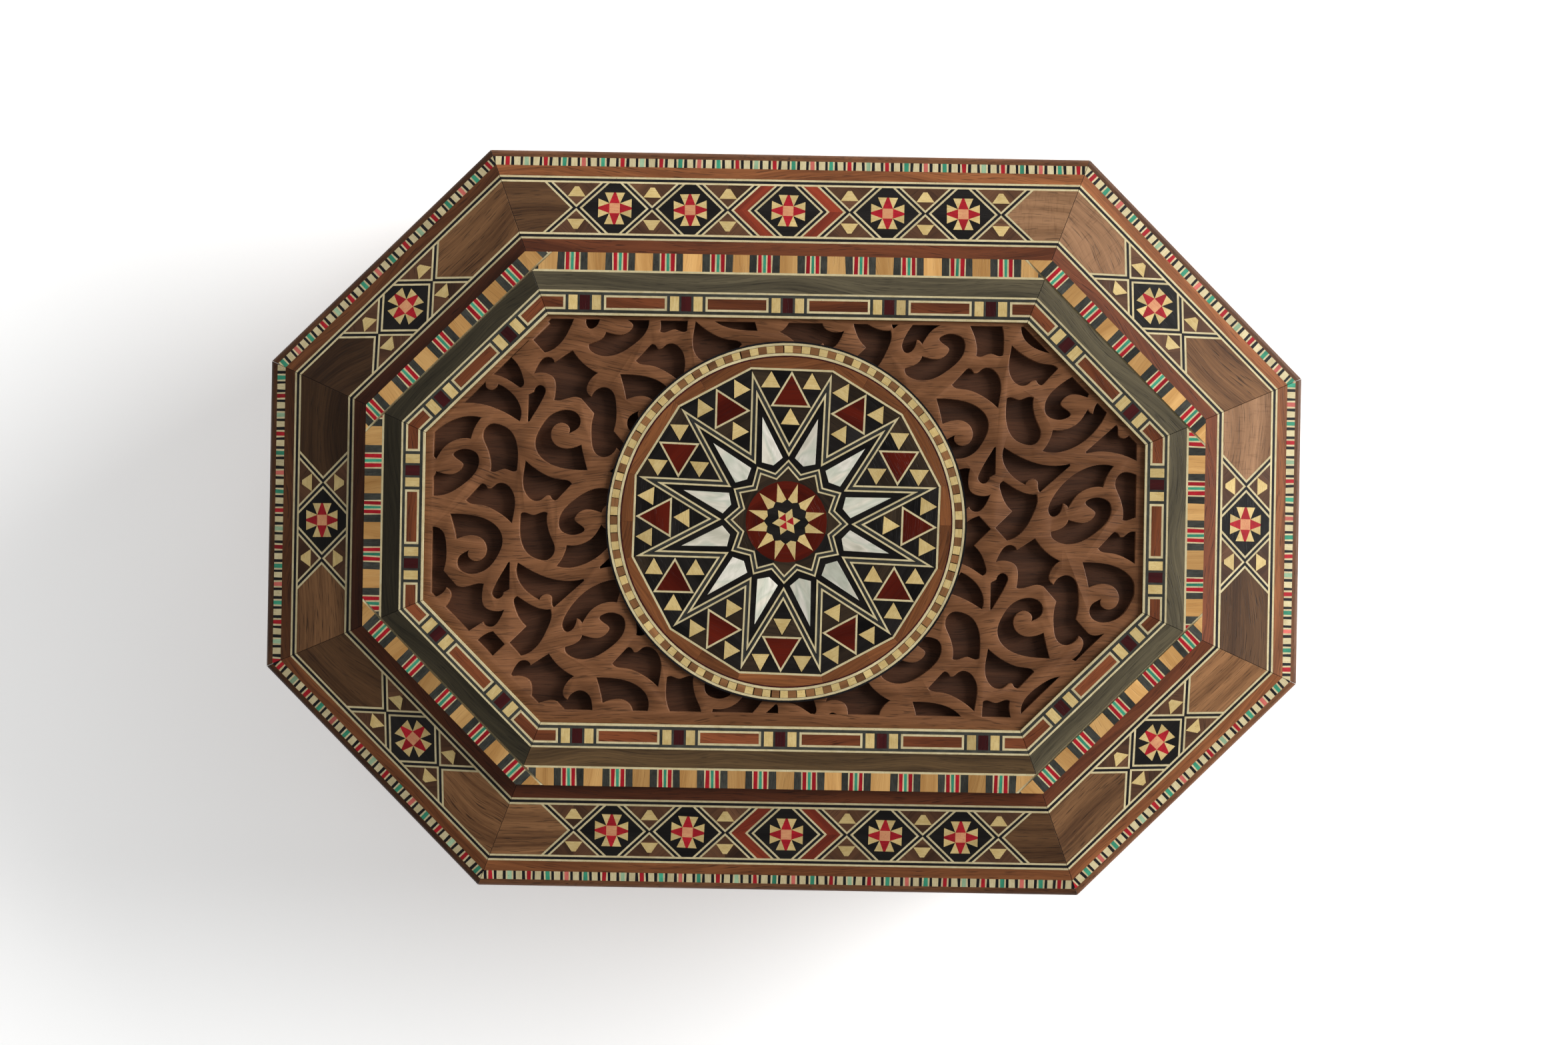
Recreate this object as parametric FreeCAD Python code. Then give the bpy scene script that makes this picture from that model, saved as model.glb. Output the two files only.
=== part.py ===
"""Octagonal marquetry box with a hinged lid, in millimetres.

+Z is up, +X is to the right, the front faces -Y and the hinges are at the back (+Y).
The origin is the centre of the flat base.  Insets are measured in plan from the lid's
outline, which is the widest part of the box.
"""
import FreeCAD
import Part
import math
import os

V = FreeCAD.Vector
UP = V(0, 0, 1)

# ---- overall form ----------------------------------------------------------------------
LENGTH = 280.0
DEPTH = 200.0
HEIGHT = 100.0
CORNER_CUT = 58.5
PART_LINE = 66.15
PART_GAP = 0.3
LONG_SCALE = 1.025
SHORT_SCALE = 0.985

# ---- body ------------------------------------------------------------------------------
FACE_INSET = 6.0
VENEER = 0.8
WALL_INNER = 14.0
LINING = 1.2
BASE_THICK = 6.0
PAD_THICK = 2.0
PLINTH_INSET = 2.0
PLINTH_HEIGHT = 10.0
PLINTH_RADIUS = 4.0

# ---- veneer rows on the outside of the body, from the plinth up ------------------------
CHECK_ROW = 2.3
OUTER_WALNUT_ROW = 9.0
STRIPED_ROW = 4.4
INNER_WALNUT_ROW = 3.8
STRING_ROW = 1.7

# ---- lid sides -------------------------------------------------------------------------
RIM_INSET = 1.5
RIM_TOP = 74.0
RIM_RADIUS = 4.0
LID_WALL_TOP = 85.0
LID_LINING_THICK = 2.0

# ---- lid top, insets of each band's outer edge -----------------------------------------
CHECK_BAND = 1.8
OUTER_WALNUT = 4.1
OUTER_STRING = 6.9
MOSAIC = 8.65
INNER_STRING = 22.2
INNER_WALNUT = 24.0
STRIPED_BAND = 27.7
STAINED_BAND = 32.9
BANDING = 37.7
FRET_EDGE = 44.2

# ---- lid top, heights ------------------------------------------------------------------
EDGE_ROUND = 1.2
INLAY = 1.0
SLOPE = math.tan(math.radians(14.5))
RAISED_SLOPE = math.tan(math.radians(7.0))
STEP = 3.0
CORE_TOP = 87.5
FRET_DROP = 1.0
FRET_THICK = 2.5
BACKING_THICK = 2.5
BACKING_LEDGE = 4.0

# ---- mosaic band -----------------------------------------------------------------------
LOZENGE_HALF = 9.85
CHEVRON_WIDE = 6.2
TIP_GAP = 0.8
STRING_WIDE = 1.75
MOSAIC_SHIFT = [2.0, 2.5, 1.7, 1.0, 0.2, 4.5, 1.6, 1.1]  # off the middle of each side, laid by hand

# ---- medallion -------------------------------------------------------------------------
MEDALLION_X = 0.6
MEDALLION_Y = 0.2
MEDALLION_TURN = -1.2
MEDALLION_R = 48.4
PLUG_R = 46.5
SEAT_ROOM = 0.1
FLANGE = 0.3
MEDALLION_INLAY = 0.6
POINTS = 12
BORDER_R = 44.2
FIELD_R = 42.5
FIELD_LINE = 0.55
STAR_TIP_R = 41.4
STAR_VALLEY_R = 21.0
STAR_STRING = 1.75
KITE_TIP_R = 28.8
KITE_SHOULDER_R = 17.2
KITE_SHOULDER_TURN = 9.6
KITE_ROOT_R = 15.5
RAYS_TIP_R = 16.7
RAYS_VALLEY_R = 13.4
RAYS_STRING = 1.6
ROUNDEL_R = 10.9
PETAL_TIP_R = 10.6
PETAL_SHOULDER_R = 5.95
PETAL_SHOULDER_TURN = 13.2
PETAL_ROOT_R = 5.2
ROSE_R = 3.8
RED_TIP_R = 40.2
RED_BASE_R = 31.2
RED_HALF = 5.5
BONE_BASE_R = 36.5
BONE_TIP_R = 40.2
BONE_SIDE = 5.9
BONE_HALF = 2.35
INNER_BONE_BASE_R = 26.7
INNER_BONE_TIP_R = 30.7

# ---- fretwork: one repeat, its two steps and its turning centre ------------------------
FRET_MARGIN = 2.2
FRET_SHIFT = 1.2
STEP_A = V(39.97, -43.26, 0)
STEP_B = V(44.95, 38.21, 0)
TURN_X = -48.82
TURN_Y = 26.07
SMALLEST_OPENING = 0.5

# ---- hinges ----------------------------------------------------------------------------
HINGE_X = 45.0
HINGE_LONG = 20.0
KNUCKLE_R = 2.0
KNUCKLE_ROOM = 0.15
PIN_R = 0.8
PIN_CLEAR = 0.05
LEAF_THICK = 0.85
LEAF_REACH = 6.8
LID_KNUCKLE = 7.2
KNUCKLE_GAP = 0.2
SCREW_BACK = 4.6
SCREW_PITCH = 6.5
SCREW_R = 0.7
SCREW_HEAD_R = 1.5
SCREW_LONG = 7.0
STOP_BEVEL = 12.0

SIDES = [
    # name, outward direction in degrees, distance from the centre, inset scale on the lid top
    ("front", -90, DEPTH / 2, LONG_SCALE),
    ("front_right", -45, (LENGTH + DEPTH - 2 * CORNER_CUT) / 2 / math.sqrt(2), 1.0),
    ("right", 0, LENGTH / 2, SHORT_SCALE),
    ("back_right", 45, (LENGTH + DEPTH - 2 * CORNER_CUT) / 2 / math.sqrt(2), 1.0),
    ("back", 90, DEPTH / 2, LONG_SCALE),
    ("back_left", 135, (LENGTH + DEPTH - 2 * CORNER_CUT) / 2 / math.sqrt(2), 1.0),
    ("left", 180, LENGTH / 2, SHORT_SCALE),
    ("front_left", 225, (LENGTH + DEPTH - 2 * CORNER_CUT) / 2 / math.sqrt(2), 1.0),
]
COUNT = len(SIDES)
LONG_SIDES = (0, 4)

NODES = {}


def keep(node, solids):
    """Adds solids to a node."""
    NODES.setdefault(node, []).extend(solids)


# ---- points on the octagon -------------------------------------------------------------
def normal(i):
    angle = math.radians(SIDES[i][1])
    return V(round(math.cos(angle), 12), round(math.sin(angle), 12), 0)


def tangent(i):
    n = normal(i)
    return V(-n.y, n.x, 0)


def reach(i, inset, top):
    """Distance of a side's line from the centre, at an inset."""
    scale = SIDES[i][3] if top else 1.0
    return SIDES[i][2] - scale * inset


def corner(i, inset, top=False):
    """Where side i meets the next one."""
    j = (i + 1) % COUNT
    a, b = normal(i), normal(j)
    da, db = reach(i, inset, top), reach(j, inset, top)
    det = a.x * b.y - a.y * b.x
    return V((da * b.y - db * a.y) / det, (a.x * db - b.x * da) / det, 0)


def ends(i, inset, top=False):
    """The two ends of side i's line at an inset, in the order of its tangent."""
    return corner((i - 1) % COUNT, inset, top), corner(i, inset, top)


def middle(i, inset, top=False):
    a, b = ends(i, inset, top)
    return (a + b) * 0.5


def lift(point, z):
    return V(point.x, point.y, z)


# ---- solids ----------------------------------------------------------------------------
def polygon(points):
    return Part.makePolygon(points + [points[0]])


def hull_of(lower, upper):
    """A solid between two outlines with the same number of corners."""
    faces = [Part.Face(polygon(lower)), Part.Face(polygon(upper))]
    for k in range(len(lower)):
        m = (k + 1) % len(lower)
        faces.append(Part.Face(polygon([lower[k], lower[m], upper[m], upper[k]])))
    solid = Part.makeSolid(Part.makeShell(faces))
    if solid.Volume < 0:
        solid.reverse()
    return solid


def mitred(i, profile, top=False):
    """A mitred member on side i; the profile is a list of (inset, height)."""
    start, finish = [], []
    for inset, z in profile:
        a, b = ends(i, inset, top)
        start.append(lift(a, z))
        finish.append(lift(b, z))
    return hull_of(start, finish)


def sector(i, top=False):
    """The space between side i's two mitre planes."""
    a, b = ends(i, -5.0, top)
    c, d = ends(i, 30.0, top)
    floor = [a, b, d, c]
    return hull_of([lift(p, -5.0) for p in floor], [lift(p, HEIGHT + 5.0) for p in floor])


def moulded(i, edges, top=False):
    """A mitred moulding with curves; edges are made from (inset, height) by side_point."""
    face = Part.Face(Part.Wire(edges))
    return face.extrude(tangent(i) * (LENGTH + 40.0)).common(sector(i, top))


def side_point(i, inset, z, top=False):
    """A point well before the start of side i, for the profile of a moulding."""
    return normal(i) * reach(i, inset, top) - tangent(i) * (LENGTH / 2 + 20.0) + UP * z


def path(i, steps, top=False):
    """Edges through profile steps: ("line", p) or ("arc", middle, p)."""
    here = steps[0]
    edges = []
    for step in steps[1:]:
        if step[0] == "line":
            start, end = side_point(i, *here, top), side_point(i, *step[1], top)
            edges.append(Part.LineSegment(start, end).toShape())
        else:
            ends_of_arc = [side_point(i, *p, top) for p in (here, step[1], step[2])]
            edges.append(Part.Arc(*ends_of_arc).toShape())
        here = step[-1]
    return edges


def octagon(inset, z0, z1, top=False):
    """A flat board with the octagon's outline at an inset."""
    outline = [corner(i, inset, top) for i in range(COUNT)]
    return hull_of([lift(p, z0) for p in outline], [lift(p, z1) for p in outline])


def ribbon(i, outer, inner, surface, thick, top=True):
    """A mitred strip of veneer whose upper face follows a surface."""
    profile = [
        (outer, surface(outer) - thick),
        (inner, surface(inner) - thick),
        (inner, surface(inner)),
        (outer, surface(outer)),
    ]
    return mitred(i, profile, top)


# ---- surfaces of the lid top -----------------------------------------------------------
def raised_top(inset):
    return HEIGHT - max(0.0, BANDING - inset) * RAISED_SLOPE


def slope_top(inset):
    return raised_top(STRIPED_BAND) - STEP - (STRIPED_BAND - inset) * SLOPE


# ---- mosaic band -----------------------------------------------------------------------
def mirrored(points):
    return [(-s, t) for s, t in points][::-1]


def flipped(points):
    return [(s, -t) for s, t in points][::-1]


def lozenge_places(long_side):
    """Centres of the rosettes along a side."""
    if not long_side:
        return [0.0]
    first = LOZENGE_HALF + CHEVRON_WIDE + TIP_GAP + LOZENGE_HALF
    second = first + 2 * LOZENGE_HALF + TIP_GAP
    return [-second, -first, 0.0, first, second]


def gap_places(long_side):
    """Places where the points of two figures meet."""
    half_gap = TIP_GAP / 2
    if not long_side:
        return [-LOZENGE_HALF - half_gap, LOZENGE_HALF + half_gap]
    _, _, _, first, second = lozenge_places(True)
    right = [first - LOZENGE_HALF - half_gap, (first + second) / 2, second + LOZENGE_HALF + half_gap]
    return [-x for x in reversed(right)] + right


def arm(tip, half, d, sharp=False):
    """Stringing from a point of a figure to the band's edge; two points that meet are cut off square."""
    side = STRING_WIDE / math.sqrt(2)
    cut = TIP_GAP / 2
    outline = [(tip + d * side, 0.0), (tip + d * (side + half), half), (tip + d * (half - side), half)]
    if sharp:
        return [(tip - d * side, 0.0)] + outline
    return [(tip - d * cut, 0.0)] + outline + [(tip - d * cut, side - cut)]


def four_ways(outline):
    return [outline, flipped(outline), mirrored(outline), flipped(mirrored(outline))]


def band_figures(long_side, half, finish):
    """The flat pieces of a mosaic band: name to a list of outlines (along, across)."""
    string = STRING_WIDE / math.sqrt(2)
    inner = LOZENGE_HALF - string
    flat = inner - half
    tile = [(-inner, 0.0), (-flat, -half), (flat, -half), (inner, 0.0), (flat, half), (-flat, half)]
    last = gap_places(long_side)[-1] + TIP_GAP / 2
    figures = {"rosette_tiles": [], "chevrons": [], "gap_triangles": [], "end_panels": []}
    strings = four_ways(arm(last, half, 1))
    for x in lozenge_places(long_side):
        figures["rosette_tiles"].append([(x + s, t) for s, t in tile])
        for d in (1, -1):
            piece = arm(x - d * LOZENGE_HALF, half, d, long_side and x == 0.0)
            strings += [piece, flipped(piece)]
    if long_side:
        near = LOZENGE_HALF + string
        far = LOZENGE_HALF + CHEVRON_WIDE - string
        figures["chevrons"] += four_ways([(near, 0.0), (far, 0.0), (far - half, half), (near - half, half)])
        strings += four_ways(arm(LOZENGE_HALF + CHEVRON_WIDE, half, -1))
    figures["lozenge_stringing"] = strings
    low = string - TIP_GAP / 2
    for x in gap_places(long_side):
        wide = half - low
        triangle = [(x, low), (x + wide, half), (x - wide, half)]
        figures["gap_triangles"] += [triangle, flipped(triangle)]
    start = last + string
    for d, far_end in ((1, finish[1]), (-1, finish[0])):
        low, high = (d * (start + half), -half), (d * (start + half), half)
        figures["end_panels"].append([(d * start, 0.0), low, far_end[0], far_end[1], high])
    return figures


def mosaic_on_lid(i):
    """Lays the mosaic band of side i into the slope of the lid."""
    lean = math.cos(math.atan(SLOPE))
    scale = SIDES[i][3]
    centre = (MOSAIC + INNER_STRING) / 2
    half = (INNER_STRING - MOSAIC) / 2 * scale / lean
    out = normal(i)
    along = tangent(i)
    home = middle(i, centre, True) + along * MOSAIC_SHIFT[i]

    def flat(point):
        """A corner of the band, in along and across."""
        return ((point - home).dot(along), (point - home).dot(out) / lean)

    def place(s, t):
        inset = centre - t * lean / scale
        return lift(home + along * s + out * (t * lean), slope_top(inset))

    outer, inner = ends(i, MOSAIC, True), ends(i, INNER_STRING, True)
    finish = ([flat(inner[0]), flat(outer[0])], [flat(inner[1]), flat(outer[1])])
    for name, outlines in band_figures(i in LONG_SIDES, half, finish).items():
        for outline in outlines:
            upper = [place(s, t) for s, t in outline]
            keep("lid_" + name, [hull_of([p - UP * INLAY for p in upper], upper)])


# ---- lid -------------------------------------------------------------------------------
def lid_sides():
    low = PART_LINE + PART_GAP / 2
    for i, (name, _, _, _) in enumerate(SIDES):
        face = FACE_INSET + VENEER
        wall = mitred(i, [(face, low), (WALL_INNER, low), (WALL_INNER, LID_WALL_TOP), (face, LID_WALL_TOP)])
        keep("lid_wall_" + name, [wall])
        rim = path(i, [
            (FACE_INSET, low),
            ("line", (RIM_INSET + 1.0, low)),
            ("arc", (RIM_INSET + 0.3, low + 0.3), (RIM_INSET, low + 1.0)),
            ("line", (RIM_INSET, RIM_TOP - RIM_RADIUS)),
            ("arc", (RIM_INSET + RIM_RADIUS * 0.293, RIM_TOP - RIM_RADIUS * 0.293),
             (RIM_INSET + RIM_RADIUS, RIM_TOP)),
            ("line", (FACE_INSET, RIM_TOP)),
            ("line", (FACE_INSET, low)),
        ])
        keep("lid_rim_moulding", [moulded(i, rim)])
        middle_row = (RIM_TOP + LID_WALL_TOP) / 2
        rows = [low, middle_row - STRIPED_ROW / 2, middle_row + STRIPED_ROW / 2, LID_WALL_TOP]
        row_nodes = ("lid_side_veneer", "lid_striped_bands", "lid_side_veneer")
        for node, z0, z1 in zip(row_nodes, rows, rows[1:]):
            strip = [(FACE_INSET, z0), (face, z0), (face, z1), (FACE_INSET, z1)]
            keep(node, [mitred(i, strip)])
        skin = [(WALL_INNER, low), (WALL_INNER + LINING, low)]
        ceiling = LID_WALL_TOP - LID_LINING_THICK
        keep("velvet_lid_lining", [mitred(i, skin + [(skin[1][0], ceiling), (skin[0][0], ceiling)])])


def lid_top():
    core = octagon(CHECK_BAND, LID_WALL_TOP, CORE_TOP, True)
    backing_low = HEIGHT - FRET_DROP - FRET_THICK - BACKING_THICK
    rise = octagon(FRET_EDGE + BACKING_LEDGE, CORE_TOP, backing_low, True)
    keep("lid_core_boards", [core, rise])
    keep("velvet_lid_lining", [octagon(WALL_INNER, LID_WALL_TOP - LID_LINING_THICK, LID_WALL_TOP)])
    for i in range(COUNT):
        edge_top = slope_top(EDGE_ROUND)
        outer_face = edge_top - EDGE_ROUND
        edging = path(i, [
            (CHECK_BAND, LID_WALL_TOP),
            ("line", (0.7, LID_WALL_TOP)),
            ("arc", (0.2, LID_WALL_TOP + 0.2), (0.0, LID_WALL_TOP + 0.7)),
            ("line", (0.0, outer_face)),
            ("arc", (EDGE_ROUND * 0.293, edge_top - EDGE_ROUND * 0.293), (EDGE_ROUND, edge_top)),
            ("line", (CHECK_BAND, slope_top(CHECK_BAND))),
            ("line", (CHECK_BAND, LID_WALL_TOP)),
        ], True)
        keep("lid_edging", [moulded(i, edging, True)])
        keep("lid_slope_frame", [mitred(i, [
            (CHECK_BAND, CORE_TOP),
            (STRIPED_BAND, CORE_TOP),
            (STRIPED_BAND, slope_top(STRIPED_BAND) - INLAY),
            (CHECK_BAND, slope_top(CHECK_BAND) - INLAY),
        ], True)])
        ledge = FRET_EDGE + BACKING_LEDGE
        keep("lid_raised_frame", [mitred(i, [
            (STRIPED_BAND, CORE_TOP),
            (ledge, CORE_TOP),
            (ledge, backing_low),
            (FRET_EDGE, backing_low),
            (FRET_EDGE, HEIGHT - INLAY),
            (BANDING, HEIGHT - INLAY),
            (STRIPED_BAND, raised_top(STRIPED_BAND) - INLAY),
        ], True)])
        keep("lid_check_band", [ribbon(i, CHECK_BAND, OUTER_WALNUT, slope_top, INLAY)])
        keep("lid_walnut_bands", [ribbon(i, OUTER_WALNUT, OUTER_STRING, slope_top, INLAY)])
        keep("lid_stringing", [ribbon(i, OUTER_STRING, MOSAIC, slope_top, INLAY)])
        keep("lid_stringing", [ribbon(i, INNER_STRING, INNER_WALNUT, slope_top, INLAY)])
        keep("lid_walnut_bands", [ribbon(i, INNER_WALNUT, STRIPED_BAND, slope_top, INLAY)])
        keep("lid_striped_bands", [ribbon(i, STRIPED_BAND, STAINED_BAND, raised_top, INLAY)])
        keep("lid_stained_band", [ribbon(i, STAINED_BAND, BANDING, raised_top, INLAY)])
        keep("lid_inlay_banding", [ribbon(i, BANDING, FRET_EDGE, raised_top, INLAY)])
        mosaic_on_lid(i)
    keep("fret_backing_board", [octagon(FRET_EDGE, backing_low, backing_low + BACKING_THICK, True)])


# ---- fretwork: outlines of one half repeat, each a list of smooth runs between corners -
SPIRAL = [
    [(-58.1, 22.9), (-56.9, 23.5), (-55.6, 24.5), (-55.05, 26.2), (-55.8, 28.1), (-57.5, 29.05),
     (-60.2, 29.05), (-63.4, 27.5), (-65.9, 24.2), (-67.15, 20.6), (-66.6, 17.8), (-64.4, 15.4),
     (-60.6, 13.75), (-57.0, 13.2), (-53.0, 13.1)],
    [(-53.0, 13.1), (-53.9, 16.2), (-54.75, 19.9)],
    [(-54.75, 19.9), (-57.0, 19.05), (-59.8, 18.9), (-62.0, 20.1), (-62.95, 22.6), (-61.9, 25.0),
     (-59.8, 25.7), (-58.4, 25.0), (-58.1, 22.9)],
]
BEAN = [
    [(-70.7, 1.2), (-69.8, 1.5), (-67.5, 0.85), (-64.6, 1.7), (-63.5, 1.5)],
    [(-63.5, 1.5), (-63.4, -2.2), (-62.5, -4.9), (-61.4, -7.8), (-61.9, -9.9), (-63.3, -11.1),
     (-65.8, -11.05), (-68.6, -9.6), (-70.3, -6.8), (-70.9, -3.0), (-70.7, 1.2)],
]
LEAF = [
    [(-69.6, 15.4), (-67.6, 13.7), (-64.6, 11.85), (-60.6, 10.55), (-57.7, 10.0), (-57.1, 9.4)],
    [(-57.1, 9.4), (-61.0, 5.1)],
    [(-61.0, 5.1), (-61.8, 4.9), (-62.4, 5.3), (-62.9, 6.15)],
    [(-62.9, 6.15), (-63.9, 6.05), (-65.2, 5.0), (-67.2, 4.7), (-69.3, 6.3), (-70.3, 9.3),
     (-70.1, 12.3), (-69.6, 15.4)],
]
HOOK = [
    [(-44.4, 5.1), (-44.5, 6.3), (-46.3, 7.8), (-49.5, 8.35), (-52.5, 7.6), (-56.2, 5.3), (-59.0, 2.7),
     (-60.5, -0.8), (-59.9, -3.1), (-57.6, -4.25), (-54.8, -3.95), (-53.5, -2.9), (-54.4, -1.75),
     (-56.2, -0.1), (-55.3, 1.5), (-53.2, 2.55), (-50.8, 2.35), (-49.0, 1.8)],
    [(-49.0, 1.8), (-48.3, 3.2), (-46.8, 4.3), (-44.4, 5.1)],
]
FORKED_ARM = [
    [(-60.9, -12.8), (-57.4, -13.15), (-53.4, -12.1), (-49.4, -9.7), (-46.0, -6.1), (-44.1, -2.9),
     (-43.7, 0.0), (-44.6, 1.0), (-46.3, 0.4), (-47.15, -1.0), (-47.5, -2.6)],
    [(-47.5, -2.6), (-48.2, -2.3), (-48.9, -1.4)],
    [(-48.9, -1.4), (-49.8, -2.9), (-50.8, -4.4), (-53.0, -6.2), (-55.6, -7.1), (-58.2, -7.1)],
    [(-58.2, -7.1), (-58.7, -9.0), (-60.9, -12.8)],
]
DROP = [
    [(-73.4, -11.9), (-73.4, -19.2)],
    [(-73.4, -19.2), (-74.9, -20.0)],
    [(-74.9, -20.0), (-75.4, -21.2), (-76.5, -21.8), (-77.9, -20.9), (-77.5, -18.6), (-75.6, -15.0),
     (-73.9, -12.1)],
    [(-73.9, -12.1), (-73.4, -11.9)],
]
CRESCENT = [
    [(-71.2, -12.0), (-67.4, -14.2), (-63.2, -15.9), (-58.6, -16.7), (-53.5, -16.1)],
    [(-53.5, -16.1), (-53.4, -16.6)],
    [(-53.4, -16.6), (-61.4, -23.9)],
    [(-61.4, -23.9), (-61.9, -22.6), (-62.1, -20.95), (-63.2, -20.3), (-64.7, -20.9), (-65.3, -21.9)],
    [(-65.3, -21.9), (-68.2, -20.2), (-70.6, -17.5), (-71.6, -14.5), (-71.2, -12.0)],
]
BOOMERANG = [
    [(-71.2, -21.0), (-68.6, -22.7), (-65.6, -24.1), (-62.2, -24.4)],
    [(-62.2, -24.4), (-61.95, -26.0), (-63.0, -29.6), (-64.9, -33.3), (-67.3, -35.8), (-70.0, -37.0)],
    [(-70.0, -37.0), (-73.2, -33.6)],
    [(-73.2, -33.6), (-68.7, -29.1)],
    [(-68.7, -29.1), (-70.8, -26.6), (-71.9, -23.8), (-72.1, -21.8), (-71.2, -21.0)],
]
HALF_CLOUD = [
    [(-46.14, 23.69), (-45.5, 26.9), (-45.6, 31.0), (-46.7, 34.4), (-48.7, 35.45), (-50.7, 34.9),
     (-52.3, 32.9)],
    [(-52.3, 32.9), (-53.5, 34.3), (-53.2, 36.4), (-50.6, 39.2)],
    [(-50.6, 39.2), (-53.0, 40.5), (-55.4, 42.5), (-57.5, 45.2)],
    [(-57.5, 45.2), (-59.2, 44.1), (-62.3, 42.0)],
    [(-62.3, 42.0), (-63.2, 43.1), (-64.7, 43.25), (-66.4, 41.8), (-67.9, 38.7)],
    [(-67.9, 38.7), (-64.6, 38.95), (-62.6, 37.9), (-61.9, 35.4), (-62.3, 31.8)],
    [(-62.3, 31.8), (-60.6, 31.75), (-58.4, 32.4), (-54.95, 32.3)],
    [(-54.95, 32.3), (-51.5, 28.45)],
]


def turned(point):
    """Half a turn about the centre of the repeat."""
    return (2 * TURN_X - point[0], 2 * TURN_Y - point[1])


def smooth(points):
    """One edge through the points: straight for two, a curve for more."""
    spots = [V(x, y, 0) for x, y in points]
    if len(spots) == 2:
        return Part.LineSegment(spots[0], spots[1]).toShape()
    curve = Part.BSplineCurve()
    curve.interpolate(spots)
    return curve.toShape()


def opening(runs):
    return Part.Face(Part.Wire([smooth(run) for run in runs]))


def fret_motif():
    """All the openings of one repeat."""
    outlines = []
    for runs in (SPIRAL, BEAN, LEAF, HOOK, FORKED_ARM, DROP, CRESCENT, BOOMERANG):
        outlines.append(runs)
        outlines.append([[turned(p) for p in run] for run in runs])
    outlines.append(HALF_CLOUD + [[turned(p) for p in run] for run in HALF_CLOUD])
    return [opening(runs) for runs in outlines]


def fret_panel():
    surface = HEIGHT - FRET_DROP
    outline = Part.Face(polygon([corner(i, FRET_EDGE, True) for i in range(COUNT)]))
    field = Part.Face(polygon([corner(i, FRET_EDGE + FRET_MARGIN, True) for i in range(COUNT)]))
    field.translate(V(0, FRET_SHIFT, 0))
    hidden = disc(PLUG_R)
    seat = disc(PLUG_R + SEAT_ROOM)
    openings = []
    repeats = range(-4, 5)
    for face in fret_motif():
        for step, rise in ((a, b) for a in repeats for b in repeats):
            copy = face.copy()
            copy.translate(STEP_A * step + STEP_B * rise)
            box = copy.BoundBox
            if max(box.XMin, -box.XMax) > LENGTH / 2 or max(box.YMin, -box.YMax) > DEPTH / 2:
                continue
            inside = copy.common(field).cut(hidden)
            openings += [f for f in inside.Faces if f.Area > SMALLEST_OPENING]
    cut = outline.cut(Part.makeCompound(openings + [seat]))
    sheet = max(cut.Faces, key=lambda f: f.Area)
    panel = sheet.extrude(UP * FRET_THICK)
    panel.translate(UP * (surface - FRET_THICK))
    keep("fret_panel", [panel])


# ---- medallion -------------------------------------------------------------------------
CENTRE = V(MEDALLION_X, MEDALLION_Y, 0)
TURN = 360.0 / POINTS


def polar(radius, degrees, across=0.0):
    """A point of the medallion: along a direction, and sideways from it."""
    angle = math.radians(degrees + MEDALLION_TURN)
    out = V(math.cos(angle), math.sin(angle), 0)
    return CENTRE + out * radius + V(-out.y, out.x, 0) * across


def ring_of(radius, turn):
    return [polar(radius, turn + TURN * k) for k in range(POINTS)]


def zigzag(outer, inner, turn):
    """A pointed star's outline; turn is the direction of one point."""
    return [p for pair in zip(ring_of(outer, turn), ring_of(inner, turn + TURN / 2)) for p in pair]


def inset_zigzag(outer, inner, turn, width):
    """The same star's outline moved inwards by the width of its stringing."""
    half_step = math.radians(TURN / 2)
    half_point = math.atan2(inner * math.sin(half_step), outer - inner * math.cos(half_step))
    half_valley = half_point + half_step
    return zigzag(outer - width / math.sin(half_point), inner - width / math.sin(half_valley), turn)


def disc(radius):
    return Part.Face(Part.Wire(Part.makeCircle(radius, CENTRE)))


def plate(outline, holes=()):
    """A piece of the medallion's veneer, with holes cut from it."""
    face = Part.Face(polygon(outline)) if isinstance(outline, list) else outline
    for hole in holes:
        face = face.cut(Part.Face(polygon(hole)) if isinstance(hole, list) else hole)
    piece = face.extrude(UP * MEDALLION_INLAY)
    piece.translate(UP * (HEIGHT - FRET_DROP + FLANGE))
    return piece.Solids


def cell_triangles(turn):
    """The red triangle and three bone ones of the field between two points of the star."""
    red = [polar(RED_TIP_R, turn), polar(RED_BASE_R, turn, RED_HALF), polar(RED_BASE_R, turn, -RED_HALF)]
    bones = [[
        polar(INNER_BONE_TIP_R, turn),
        polar(INNER_BONE_BASE_R, turn, BONE_HALF),
        polar(INNER_BONE_BASE_R, turn, -BONE_HALF),
    ]]
    for side in (BONE_SIDE, -BONE_SIDE):
        bones.append([
            polar(BONE_TIP_R, turn, side),
            polar(BONE_BASE_R, turn, side + BONE_HALF),
            polar(BONE_BASE_R, turn, side - BONE_HALF),
        ])
    return red, bones


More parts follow.
